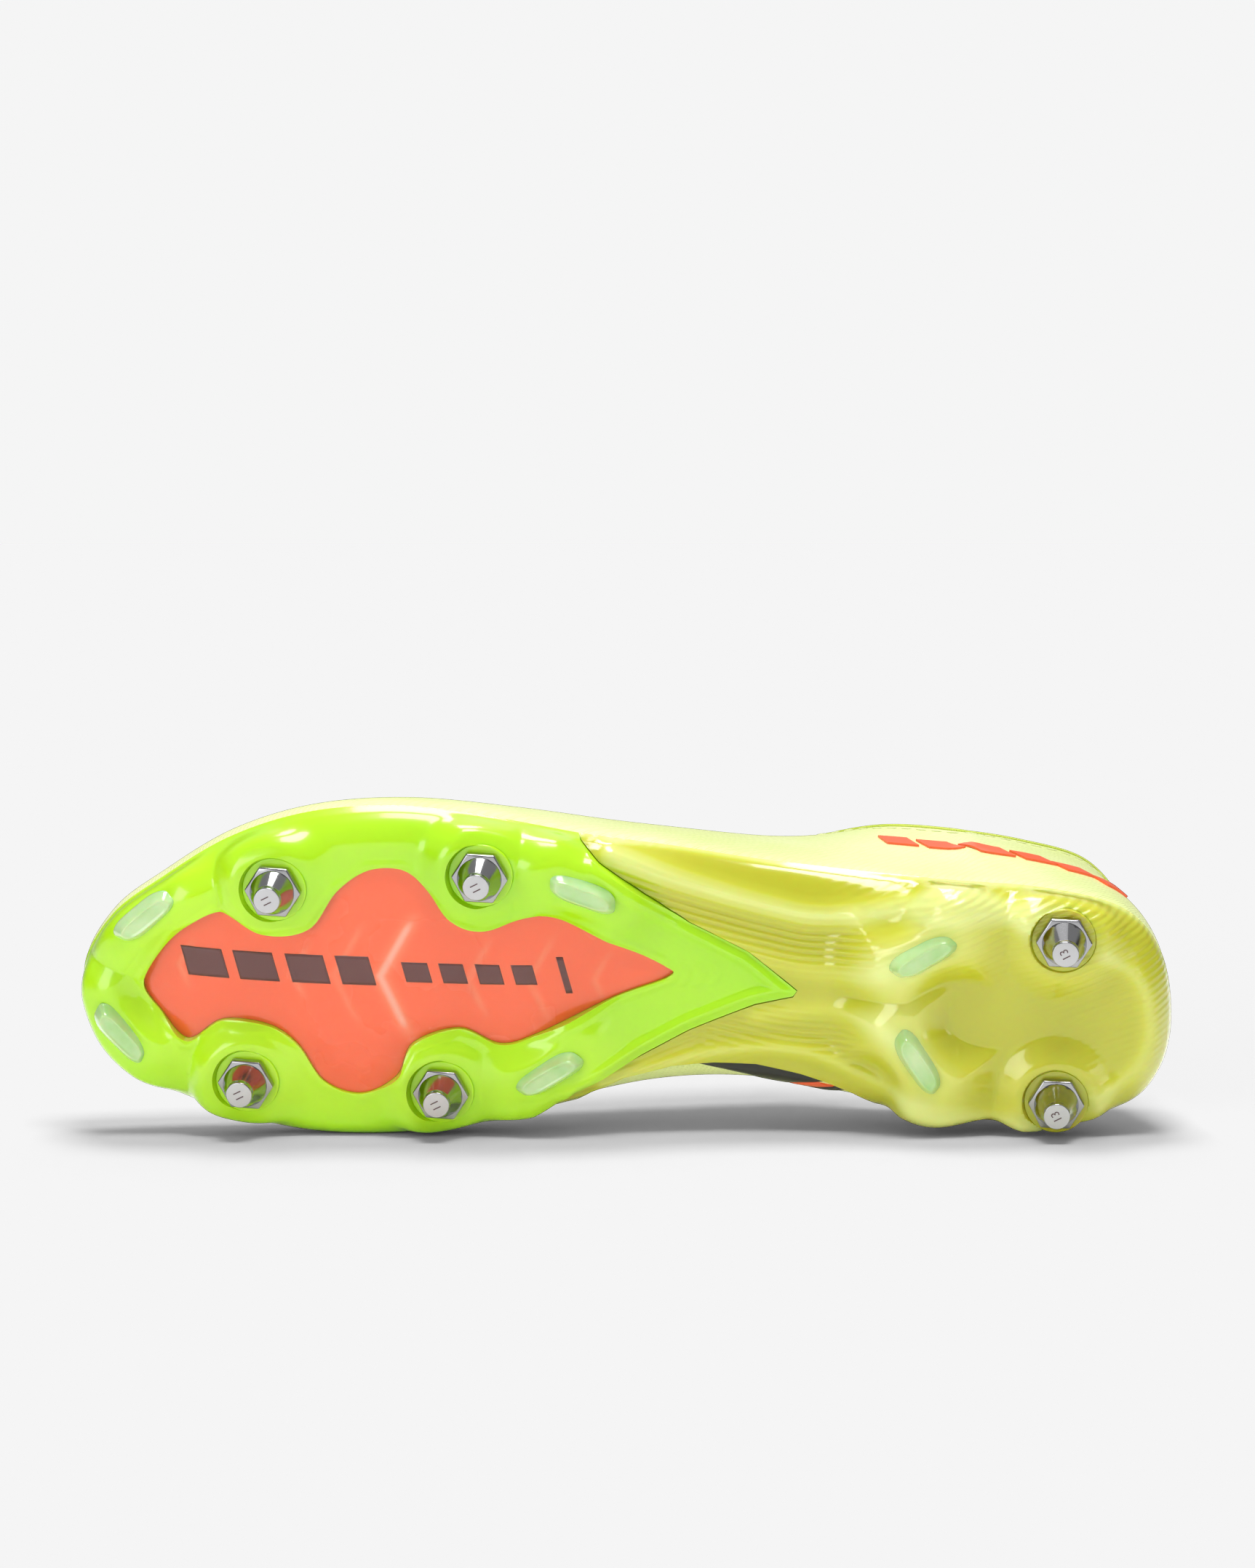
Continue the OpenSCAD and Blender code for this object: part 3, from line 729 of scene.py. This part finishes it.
def fore_extra(x, y):
    """Raised lines along the tail's edges and round the window."""
    d = seg_dist(x, y, TAIL[3:13])
    h = 1.0 * np.exp(-((d - 2.6) / 1.5) ** 2)
    for c in (120.5, 124.5, 128.5):
        at = flat((c, 1))
        line = (x - at[0]) - 0.6 * abs(y - at[1])
        h = h + 0.4 * np.exp(-(line / 0.55) ** 2) * (abs(y - at[1]) < 3.2)
    w = seg_dist(x, y, WINDOW + WINDOW[:1])
    return h + 0.45 * np.exp(-((w - 1.2) / 1.1) ** 2)


def rear_extra(x, y):
    """Flowing folds of the clear plate."""
    folds = [([[150, 32.5], [128, 25], [107, 19.5], [93, 18], [69, 22],
               [50, 22.5], [34, 18]], 1.5, 3.2),
             ([[126, 12], [106, 5], [92, 2.5], [80, 4.5], [68, 10]], 0.7, 3.5),
             ([[110, -10], [93, -7.5], [80, -8.5], [69, -15]], 0.7, 3.0),
             ([[150, -28], [122, -20], [98, -19], [80, -25], [62, -31],
               [36, -33]], 0.9, 2.4),
             ([[20, 12], [11, 5], [7.5, -7], [10, -18], [20, -27]],
              0.8, 2.6)]
    h = 0
    for pts, top, wide in folds:
        d = seg_dist(x, y, pts, True)
        h = h + top * np.exp(-(d / wide) ** 2)
        if top == folds[0][1]:
            fold = d
    # Fine ribs that run beside the long fold.
    waist = np.exp(-(seg_dist(x, y, [[152, 24], [128, 17], [106, 11],
                                     [90, 11]], True) / 8) ** 2)
    waist = waist + 0.7 * np.exp(-(seg_dist(x, y, [
        [122, -14], [104, -13], [88, -16]], True) / 5) ** 2)
    return h + 0.16 * waist * np.sin(fold * 2 * np.pi / 1.9)


WINDOW_RING = curve_ring(WINDOW)
TAIL_RING = np.array([flat(p) for p in TAIL + [[330, 70], [330, -70]]])


def make_plates():
    plate("plate_fore", 5.2, NS, 300, 220,
          ["toe_lateral", "toe_medial", "mid_lateral", "mid_medial"],
          ["front_lateral", "front_medial", "mid_lateral", "mid_medial"],
          fore_extra, [(TAIL_RING, "INTERSECT"),
                       (WINDOW_RING, "DIFFERENCE")],
          M["lime"], "forefoot_plate")
    plate("plate_rear", 0, 10, 300, 320, ["heel_lateral", "heel_medial"],
          ["heel_lateral", "heel_medial"], rear_extra,
          [(grow(TAIL_RING, 0.25), "DIFFERENCE"),
           (np.array([flat(p) for p in SCOOP]), "DIFFERENCE")],
          M["clear"], "rear_plate")


def window_face(x, y):
    """Creased pillow of the air unit: height, and the tone that paints a
    highlight along the creases.
    """
    d = seg_dist(x, y, WINDOW + WINDOW[:1])
    dome = 0.35 * smooth(d / 7)
    crease = 0
    for cx, reach, deep, wide in ((262, 9, 0.5, 1.0), (232, 10, 0.5, 1.0),
                                  (221, 16, 0.45, 1.0), (209, 19, 1.0, 1.9),
                                  (186, 13, 0.5, 1.0), (170, 14, 0.45, 1.0),
                                  (153, 9, 0.4, 1.0)):
        c = flat((cx, 0))
        line = (x - c[0]) + 0.5 * abs(y + 0.5)
        fade = smooth((reach - abs(y)) / 7)
        crease = crease + deep * np.exp(-(line / wide) ** 2) * fade
    return dome - 0.5 * crease, np.clip(crease, 0, 1)


def make_window():
    u, v = rows_cols(np.linspace(6.5, NS, 260), np.linspace(1.9, 3.1, 130))
    p, n = under(u, v)
    h, tone = window_face(p[..., 0], p[..., 1])
    # The crease tone is stored for the air unit's colour: painted highlight
    # along the creases.
    me = slab("air_pillow", p + n * (h - 1.05)[..., None], p - n * 2.75,
              attr=tone)
    air = link("air_pillow", me, M["air"])
    boolean(air, prism("cutter", grow(WINDOW_RING, -0.06)), "INTERSECT")
    crisp(air, 40)
    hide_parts("air_unit")
    film_h = h * 0.9 - 0.45
    me = slab("film_skin", p + n * film_h[..., None],
              p + n * (film_h - 0.18)[..., None])
    film = link("film_skin", me, M["film"])
    boolean(film, prism("cutter", grow(WINDOW_RING, -0.06)), "INTERSECT")
    crisp(film, 40)
    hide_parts("window_film")
    # Plain slanted dashes printed on the air unit.
    bars = [(255, 5.4, 3.9), (241.5, 5.2, 3.9), (228, 5.0, 3.9),
            (215.5, 4.4, 3.9), (199.5, 3.4, 2.7), (190, 3.2, 2.7),
            (180.5, 3.2, 2.7), (171.5, 2.8, 2.7), (161, 0.9, 5.0)]
    for k, (x0, half, tall) in enumerate(bars, 1):
        s, t = rows_cols(np.linspace(-1, 1, 15), np.linspace(-1, 1, 9))
        x = (x0 - ORIGIN_X + s * half + t * tall * 0.3) * SX
        y = t * tall + 1.0
        hz = window_face(x, y)[0]
        z = sole_z(x) + 1.05 - hz
        top = np.stack([x, y, z - 0.06], -1)
        me = slab(f"dash_{k}", top, top + [0, 0, 0.3])
        ob = link(f"dash_{k}", me, M["print"])


def make_tips():
    for k, t in TIPS.items():
        rows = []
        a = np.linspace(0, 2 * np.pi, 64, endpoint=False)
        for z, gl, gw in ((0.35, -8, -3.9), (0.3, -4.4, -2.6), (0, -3.0, -1.9),
                          (0.05, -2.3, -1.5), (0.45, -1.5, -0.9),
                          (1.2, -0.6, -0.2), (2.6, 0.9, 1.0),
                          (3.6, 1.9, 1.8), (4.8, 2.6, 2.4)):
            L, W = (TIP_L + gl) / 2, (TIP_W + 0.6 + gw) / 2
            c, s = np.cos(a), np.sin(a)
            x = np.sign(c) * abs(c) ** 0.45 * L
            y = np.sign(s) * abs(s) ** 0.5 * W * (1 - 0.25 * (x / L) ** 4)
            x = x + y * 0.35
            rows.append(np.stack([x, y, np.full_like(x, z)], -1))
        rows = np.array(rows)
        m = len(a)
        f = [(i * m + j, i * m + (j + 1) % m, (i + 1) * m + (j + 1) % m,
              (i + 1) * m + j) for i in range(len(rows) - 1)
             for j in range(m)]
        f += [tuple(range(m)), tuple(range((len(rows) - 1) * m,
                                           len(rows) * m))]
        me = mesh_of("blade_" + k, rows.reshape(-1, 3), f)
        me.transform(tip_matrix(t))
        ob = link("blade_" + k, me, M["tip"])
        sub = ob.modifiers.new("smooth", "SUBSURF")
        sub.levels = sub.render_levels = 1
        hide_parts("tip_" + k)


def hexagon(name):
    """The spanner hex of a stud, its corners eased."""
    r = FLATS / math.sqrt(3)
    bm = bmesh.new()
    low = [bm.verts.new((r * math.cos(i * math.pi / 3) * MM,
                         r * math.sin(i * math.pi / 3) * MM, -2.8 * MM))
           for i in range(6)]
    top = [bm.verts.new((v.co.x, v.co.y, -0.3 * MM)) for v in low]
    bm.faces.new(low[::-1])
    bm.faces.new(top)
    for i in range(6):
        bm.faces.new((low[i], low[(i + 1) % 6], top[(i + 1) % 6], top[i]))
    bmesh.ops.recalc_face_normals(bm, faces=bm.faces)
    bmesh.ops.bevel(bm, geom=bm.edges[:], offset=0.45 * MM, segments=3,
                    affect="EDGES", profile=0.5)
    return baked(bm, name)


def number(text, s, body, k):
    """Stud height, as thin dark lettering on the worn end."""
    cu = bpy.data.curves.new("size_" + k, "FONT")
    cu.body, cu.size, cu.extrude = text, 3.2 * MM, 0.03 * MM
    cu.align_x = cu.align_y = "CENTER"
    tmp = helper("tmp", cu)
    dg = bpy.context.evaluated_depsgraph_get()
    me = bpy.data.meshes.new_from_object(tmp.evaluated_get(dg))
    bpy.data.objects.remove(tmp)
    me.name = "size_" + k
    me.transform(stud_matrix(s) @ Matrix.Translation((0, 0, -s[2] * MM))
                 @ Matrix.Rotation(math.pi, 4, "X")
                 @ Matrix.Rotation(math.radians(-60), 4, "Z"))
    me.materials.clear()
    ob = link("size_" + k, me, M["print"], body, smooth=False)


def make_studs():
    for k, s in STUDS.items():
        h, r = s[2], STUD_TIP_D / 2
        body = f"stud_{k}_turn"
        prof = rounded([(0, -2.6), (5.85, -2.6), (5.9, -3.3), (r, 2.0 - h),
                        (r, -h), (0, -h)], 0.35)
        me = lathe("cone_" + k, prof, 96)
        bm = bmesh.new()
        bm.from_mesh(me)
        bm.from_mesh(hexagon("hex"))
        bm.to_mesh(me)
        bm.free()
        me.transform(stud_matrix(s))
        ob = link("cone_" + k, me, M["steel"], body)
        ob.data.materials.append(M["worn"])
        out = stud_matrix(s).to_3x3() @ Vector((0, 0, -1))
        tip = stud_matrix(s) @ Vector((0, 0, -h * MM))
        for poly in ob.data.polygons:
            near = (poly.center - tip).length < (r + 0.1) * MM
            if near and poly.normal.dot(out) > 0.95:
                poly.material_index = 1
        crisp(ob, 35)
        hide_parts("stud_" + k)
        number(str(h), s, body, k)


# ------------------------------------------------------------- the upper
def wall(name, ws, qs, d0, d1, mat, slot, node=None, loop=False, bend=0):
    """Layer over a stretch of the wall, with eased long edges."""
    w, q = rows_cols(ws, qs)
    f0 = d0(w, q) if callable(d0) else np.full(w.shape, float(d0))
    f1 = d1(w, q) if callable(d1) else np.full(w.shape, float(d1))
    if bend:
        s = np.linspace(0, 1, len(qs))
        e = np.minimum(s, 1 - s) * (len(qs) - 1) / 3
        f0 = f0 + bend * (1 - smooth(e))[None, :]
    me = slab(name, sp(w, q, f0), sp(w, q, f1), loop=loop)
    ob = link(name, me, mat)
    crisp(ob, 50)
    if node:
        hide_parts(node)
    return ob


def eyelet_frames():
    for w in [x for k in E_W for x in (k, NL - k)]:
        n = Vector(face_n(w, E_Q))
        at = Vector(sp(w, E_Q, 0)) * MM
        yield Matrix.Translation(at) @ n.to_track_quat("Z", "Y").to_matrix(
            ).to_4x4()


def punch(ob, z0=-4, z1=2, r=2.15):
    """Cut the ten eyelet holes between two heights over the surface."""
    bm = bmesh.new()
    for m in eyelet_frames():
        me = lathe("hole", [(0, z0), (r, z0), (r, z1), (0, z1)], 32)
        me.transform(m)
        bm.from_mesh(me)
    boolean(ob, helper("holes", baked(bm, "holes")))
    crisp(ob, 50)


def make_upper():
    ring = np.linspace(0, NL, 360, endpoint=False)
    qs = np.concatenate([np.linspace(0, 0.9, 60), np.linspace(0.92, 2.0, 40)])
    punch(wall("upper_skin", ring, qs, SHELL_D, SHELL_D + SHELL_T, M["knit"],
               "knit", "upper_shell", True))
    qs = np.concatenate([np.linspace(0, 0.5, 30), np.linspace(0.53, 1.62, 40)])
    wall("upper_inside", ring, qs, lambda w, q: LINING_D + pad(w, q),
         lambda w, q: LINING_D + LINING_T + pad(w, q),
         M["lining"], "lining", "upper_lining", True)
    wall("collar_pad", np.linspace(-6.8, 6.8, 120), np.linspace(0.02, 0.4, 24),
         STIFF_D, lambda w, q: STIFF_D + 1 + pad(w, q), M["foam"], "foam",
         "collar_foam")
    wall("counter", np.linspace(-4.5, 4.5, 80), np.linspace(0.46, 1.62, 40),
         STIFF_D, STIFF_D + 1, M["stiff"], "stiffener", "heel_counter")
    wall("puff", np.linspace(11.5, 18.5, 80), np.linspace(0.62, 1.62, 40),
         STIFF_D, STIFF_D + 0.8, M["stiff"], "stiffener", "toe_puff")
    for name, a, b in (("lateral", 7.3, 14.4), ("medial", 15.6, 22.7)):
        ws = np.linspace(a, b, 150)
        punch(wall("stay_" + name, ws, np.linspace(0.01, 0.2, 20), 0.6, 1.5,
                   M["eyestay"], "eyestay", "eyestay_" + name, bend=0.7))
    for k, m in enumerate(eyelet_frames(), 1):
        prof = rounded([(2.15, 1.9), (2.15, -0.75 + 1.2), (3.1, -0.75 + 1.2),
                        (3.1, -1.2), (2.0, -1.2), (1.85, 1.9), (2.15, 1.9)],
                       0.2)
        me = lathe(f"eyelet_{k}", [(r, -z - 1.0) for r, z in prof], 40)
        me.transform(m)
        link(f"eyelet_{k}", me, M["eyestay"])


def make_binding():
    """Folded tape over the collar's edge, with a row of stitches."""
    ws = np.linspace(-7, 7, 260)
    a = np.linspace(-0.15, 1.15, 16) * np.pi
    up = unit(side(ws, 0.0) - side(ws, 0.03))
    n = face_n(ws, 0.0)
    mid = sp(ws, 0.0, 3.25) + up * 0.3
    rows = (mid[:, None] + n[:, None] * (np.cos(a) * 2.15)[None, :, None]
            + up[:, None] * (np.sin(a) * 1.6)[None, :, None])
    inner = (mid[:, None] + n[:, None] * (np.cos(a) * 1.7)[None, :, None]
             + up[:, None] * (np.sin(a) * 1.1 - 0.1)[None, :, None])
    ob = link("collar_tape", slab("collar_tape", rows, inner), M["binding"])
    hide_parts("collar_binding")
    stitches("collar_stitch", [sp(w, 0.075, 1.45) for w in
                               np.linspace(-6.9, 6.9, 190)])


def stitches(name, pts, on=2, off=1, r=0.22):
    """Short raised threads along a line of points."""
    pts = np.array(pts)
    bm = bmesh.new()
    for i in range(0, len(pts) - on, on + off):
        a, b = Vector(pts[i]) * MM, Vector(pts[i + on]) * MM
        ax = b - a
        m = (Matrix.Translation((a + b) / 2)
             @ ax.to_track_quat("X", "Z").to_matrix().to_4x4()
             @ Matrix.Diagonal((ax.length * 0.55, r * MM, r * MM, 1)))
        bmesh.ops.create_uvsphere(bm, u_segments=8, v_segments=6, radius=1,
                                  matrix=m)
    link(name, baked(bm, name), M["thread"])


def arch(a, b, h, t):
    s = min(1, np.linalg.norm(a - b) / 20)
    rise = h * math.sin(math.pi * t) * s
    return a * (1 - t) + b * t + np.array([0, 0, rise])


def tongue_row(u, d, fine=8):
    """One row across the tongue, lateral to medial, as a smooth curve."""
    qs = (0.26, 0.18, 0.1, 0.03)
    a, b = sp(u, 0.03, d), sp(NL - u, 0.03, d)
    row = ([sp(u, q, d) for q in qs] + [arch(a, b, 2.2, t) for t in
                                        (0.25, 0.5, 0.75)]
           + [sp(NL - u, q, d) for q in qs[::-1]])
    row = np.array([np.asarray(p).reshape(3) for p in row])
    ext = np.concatenate([row[:1], row, row[-1:]])
    t = np.arange(fine)[:, None] / fine
    out = [cr(ext[i], ext[i + 1], ext[i + 2], ext[i + 3], t)
           for i in range(len(row) - 1)]
    return np.concatenate(out + [row[-1:]])


def make_tongue():
    def grid(d, puff):
        rows = [tongue_row(7.2, d) + np.array([-4.5, 0, 4]) * k
                for k in np.linspace(3, 0.2, 14)]
        rows += [tongue_row(u, d) for u in np.linspace(7.2, NS, 90)]
        g = np.array(rows)
        s = np.linspace(-1, 1, g.shape[1])
        r = np.arange(len(rows))
        quilt = (1 - abs(s[None, :]) ** 3) * (
            0.55 + 0.45 * abs(np.sin(r[:, None] * np.pi / 13)) ** 0.6)
        edge = smooth(np.minimum(r, 12) / 6)[:, None] * smooth(
            (1 - abs(s)) * 6)[None, :]
        g[..., 2] += puff * quilt * edge + (edge - 1) * puff * 0.9
        return g
    me = slab("tongue_pad", grid(9.3, 0.9), grid(10.4, -0.8), cap0=True,
              cap1=False)
    ob = link("tongue_pad", me, M["tongue"])
    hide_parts("tongue")


def sweep(name, pts, wide, thick, seg=14):
    """Flat braid along control points, kept close to level."""
    p = np.array([np.asarray(q, float).reshape(3) for q in pts])
    e = np.concatenate([2 * p[:1] - p[1:2], p, 2 * p[-1:] - p[-2:-1]])
    t = np.arange(6)[:, None] / 6
    path = np.concatenate([cr(e[i], e[i + 1], e[i + 2], e[i + 3], t)
                           for i in range(len(p) - 1)] + [p[-1:]])
    tan = unit(np.gradient(path, axis=0))
    side_v = unit(np.cross(tan, tan * 0.05 + [0.2, 0, 1.0]))
    for i in range(1, len(side_v)):
        s = side_v[i] * 0.35 + side_v[i - 1] * 0.65
        s -= tan[i] * (s @ tan[i])
        side_v[i] = s / max(np.linalg.norm(s), 1e-9)
    nor = np.cross(side_v, tan)
    a = np.linspace(0, 2 * np.pi, seg, endpoint=False)
    c = np.sign(np.cos(a)) * abs(np.cos(a)) ** 0.7 * wide / 2
    s = np.sign(np.sin(a)) * abs(np.sin(a)) ** 0.9 * thick / 2
    rings = (path[:, None] + side_v[:, None] * c[None, :, None]
             + nor[:, None] * s[None, :, None])
    n, m = len(path), seg
    f = [(i * m + j, i * m + (j + 1) % m, (i + 1) * m + (j + 1) % m,
          (i + 1) * m + j) for i in range(n - 1) for j in range(m)]
    f += [tuple(range(m)), tuple(range((n - 1) * m, n * m))]
    return mesh_of(name, rings.reshape(-1, 3), f)


def hop(a, b):
    """Up through one eyelet, over the throat, under to the next."""
    ca, cb = sp(a, 0.02, 1), sp(b, 0, 6.6)
    over = unit(sp(b, 0, 0) - sp(a, 0, 0)) * 2
    return [sp(a, E_Q, 6.6), sp(a, E_Q, 3), sp(a, E_Q, 0.7),
            sp(a, 0.05, -0.6), sp(a, 0, -0.6) + over,
            arch(ca, cb, 3.5, 0.25) + [0, 0, 0.6], arch(ca, cb, 3.5, 0.5),
            arch(ca, cb, 2.8, 0.8), sp(b, 0.01, 6.6), sp(b, E_Q, 6.6)]


def make_lace():
    bm = bmesh.new()
    runs = [hop(E_W[4], NL - E_W[4])]
    for i in range(4, 0, -1):
        runs += [hop(E_W[i], NL - E_W[i - 1]), hop(NL - E_W[i], E_W[i - 1])]
    for run in runs:
        bm.from_mesh(sweep("run", run, LACE_W, LACE_T))
    ob = link("lace_braid", baked(bm, "lace_braid"), M["lace"])
    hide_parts("lace")


def make_inside():
    u, v = rows_cols(np.linspace(0, NS, 150), np.linspace(1.8, 3.2, 60))
    p, n = under(u, v)
    e = smooth(np.minimum(v - 1.8, 3.2 - v) / 0.1)
    dip = 0.12 * np.sin(p[..., 0] / 3.2) * np.sin(p[..., 1] / 3.2)
    top = SOCK_D + FOAM_T + 0.05
    A = p - n * top
    B = p - n * (top + 0.3 + 0.5 * e + dip * e)[..., None]
    ob = link("sock_top", slab("sock_top", A, B, cap0=False, cap1=False),
              M["sock"], SOCK)
    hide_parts("sockliner_cover")
    ob = link("sock_pad", slab("sock_pad", p - n * SOCK_D,
                               p - n * (SOCK_D + FOAM_T), cap0=False,
                               cap1=False), M["sock_foam"], SOCK)
    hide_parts("sockliner_foam")
    u, v = rows_cols(np.linspace(0, NS, 150), np.linspace(1.72, 3.28, 60))
    p, n = under(u, v)
    ob = link("board", slab("board", p - n * STIFF_D, p - n * (STIFF_D + 1.5),
                            cap0=False, cap1=False), M["board"])
    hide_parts("lasting_board")


def make_panels():
    """Side panel, its trim and the dashes over the heel."""
    q = np.linspace(1.2, 1.99, 60)
    left = np.interp(q, [1.2, 1.33, 1.457, 1.67, 1.88, 1.96, 1.99],
                     [24.25, 24.27, 24.05, 23.75, 23.4, 23.1, 23.0])
    right = np.interp(q, [1.2, 1.35, 1.88, 1.99], [24.35, 24.42, 24.84, 24.93])

    def strip(name, a, b, rows, mat, node):
        t = np.linspace(0, 1, 16)[:, None]
        w = a[None, rows] * (1 - t) + b[None, rows] * t
        qq = q[None, rows] + 0 * w
        e = smooth(np.minimum(t, 1 - t) * 6)
        ob = link(name, slab(name, sp(w, qq, 1.05 + 0.4 * (1 - e) + 0 * w),
                             sp(w, qq, 1.6 + 0 * w)), mat)
        crisp(ob, 50)
        if node:
            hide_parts(node)
    every, lower = slice(0, 60), slice(0, 38)
    strip("panel_sweep", left, right, every, M["black"],
          "side_panel")
    strip("panel_trim", right + 0.02, right + 0.2, lower, M["orange"],
          "side_patch")
    strip("panel_line", right + 0.22, right + 0.36, lower, M["black"],
          None)
    bm = bmesh.new()
    for k in range(6):
        w = np.linspace(0, 0.38, 8) + 1.85 + k * 0.5
        mid = np.interp(w.mean(), [1.9, 2.5, 3, 3.7, 4.2, 4.8],
                        [0.7, 0.58, 0.5, 0.47, 0.39, 0.41])
        ww, qq = rows_cols(w, np.linspace(-0.1, 0.1, 8))
        ww, qq = ww - qq * 0.9, qq * (0.6 + 0.02 * k) + mid
        bm.from_mesh(slab("bar", sp(ww, qq, 1.0), sp(ww, qq, 1.6)))
    ob = link("heel_dashes", baked(bm, "heel_dashes"), M["orange"])
    crisp(ob, 40)
    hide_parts("heel_bars")


def finish_cad():
    """Metal for the CAD inserts and stems that stay as they are."""
    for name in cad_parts:
        if name.startswith(("insert_", "stem_")):
            ob = bpy.data.objects.get(name)
            if ob:
                ob.data.materials.clear()
                ob.data.materials.append(M["steel"])


# ------------------------------------------------------- stage and light
def make_stage():
    """Pale floor under the side the boot lies on, seen from one side."""
    lean = math.radians(5)
    n = (UP * math.cos(lean) + BACK * math.sin(lean)).normalized()
    level = min(v.co.dot(n) for name in ("plate_fore", "plate_rear",
                                         "upper_skin")
                for v in bpy.data.objects[name].data.vertices)
    me = bpy.data.meshes.new("floor")
    t = RIGHT
    b = n.cross(t).normalized()
    o = n * level
    s = 3.0
    me.from_pydata([o + t * x * s + b * y * s for x, y in
                    ((-1, -1), (1, -1), (1, 1), (-1, 1))], [], [(0, 1, 2, 3)])
    ob = helper("floor", me)
    if me.polygons[0].normal.dot(n) < 0:
        me.flip_normals()
    a = Mat("floor_pale", (0.93, 0.93, 0.93), 0.9)
    out = next(x for x in a.nt.nodes if x.type == "OUTPUT_MATERIAL")
    mix = a.node("ShaderNodeMixShader")
    clear = a.node("ShaderNodeBsdfTransparent")
    geo = a.node("ShaderNodeNewGeometry")
    a.link(geo.outputs["Backfacing"], mix.inputs["Fac"])
    a.link(a.b.outputs[0], mix.inputs[1])
    a.link(clear.outputs[0], mix.inputs[2])
    a.link(mix.outputs[0], out.inputs["Surface"])
    me.materials.append(a.mat)
    ob.is_shadow_catcher = True
    return n


def area(name, direction, size, power, dist=1.3):
    d = direction.normalized()
    data = bpy.data.lights.new(name, "AREA")
    data.shape, data.size, data.energy = "SQUARE", size, power
    ob = helper(name, data)
    ob.location = d * dist
    ob.rotation_euler = d.to_track_quat("Z", "Y").to_euler()


def make_light():
    sc = bpy.context.scene
    sc.view_settings.view_transform = "Standard"
    sc.view_settings.look = "None"
    world = bpy.data.worlds.new("studio")
    sc.world = world
    world.use_nodes = True
    nt = world.node_tree
    bg = nt.nodes["Background"]
    bg.inputs["Color"].default_value = (0.913, 0.913, 0.913, 1)
    bg.inputs["Strength"].default_value = 1.0
    dim = nt.nodes.new("ShaderNodeBackground")
    co = nt.nodes.new("ShaderNodeTexCoord")
    sep = nt.nodes.new("ShaderNodeSeparateXYZ")
    ramp = nt.nodes.new("ShaderNodeValToRGB")
    rng = nt.nodes.new("ShaderNodeMapRange")
    rng.inputs["From Min"].default_value = -1
    e = ramp.color_ramp.elements
    e[0].position, e[0].color = 0.0, (0.4, 0.4, 0.4, 1)
    e[1].position, e[1].color = 1.0, (1, 1, 1, 1)
    for pos, val in ((0.30, 0.05), (0.42, 0.6), (0.52, 0.5), (0.58, 0.03),
                     (0.68, 0.9)):
        x = e.new(pos)
        x.color = (val, val, val, 1)
    dim.inputs["Strength"].default_value = 0.42
    path = nt.nodes.new("ShaderNodeLightPath")
    mix = nt.nodes.new("ShaderNodeMixShader")
    out = nt.nodes["World Output"]
    nt.links.new(co.outputs["Generated"], sep.inputs[0])
    nt.links.new(sep.outputs["Y"], rng.inputs["Value"])
    nt.links.new(rng.outputs[0], ramp.inputs[0])
    nt.links.new(ramp.outputs[0], dim.inputs["Color"])
    nt.links.new(path.outputs["Is Camera Ray"], mix.inputs[0])
    nt.links.new(dim.outputs[0], mix.inputs[1])
    nt.links.new(bg.outputs[0], mix.inputs[2])
    nt.links.new(mix.outputs[0], out.inputs["Surface"])
    area("key", UP * 1.0 + BACK * 0.45 + RIGHT * 0.1, 0.5, 9.5)
    area("fill", BACK * 1.0 + UP * 0.1 - RIGHT * 0.75, 0.6, 4.2)
    area("back", -BACK * 1.0 + UP * 1.2, 0.8, 1.2)
    area("top", UP * 1.0 - BACK * 0.14, 0.5, 9)
    area("low", -UP * 0.15 + BACK * 0.7 + RIGHT * 1.0, 0.4, 1.2)


make_plates()
make_window()
make_tips()
make_studs()
make_upper()
make_binding()
make_tongue()
make_lace()
make_inside()
make_panels()
finish_cad()
make_stage()
make_light()
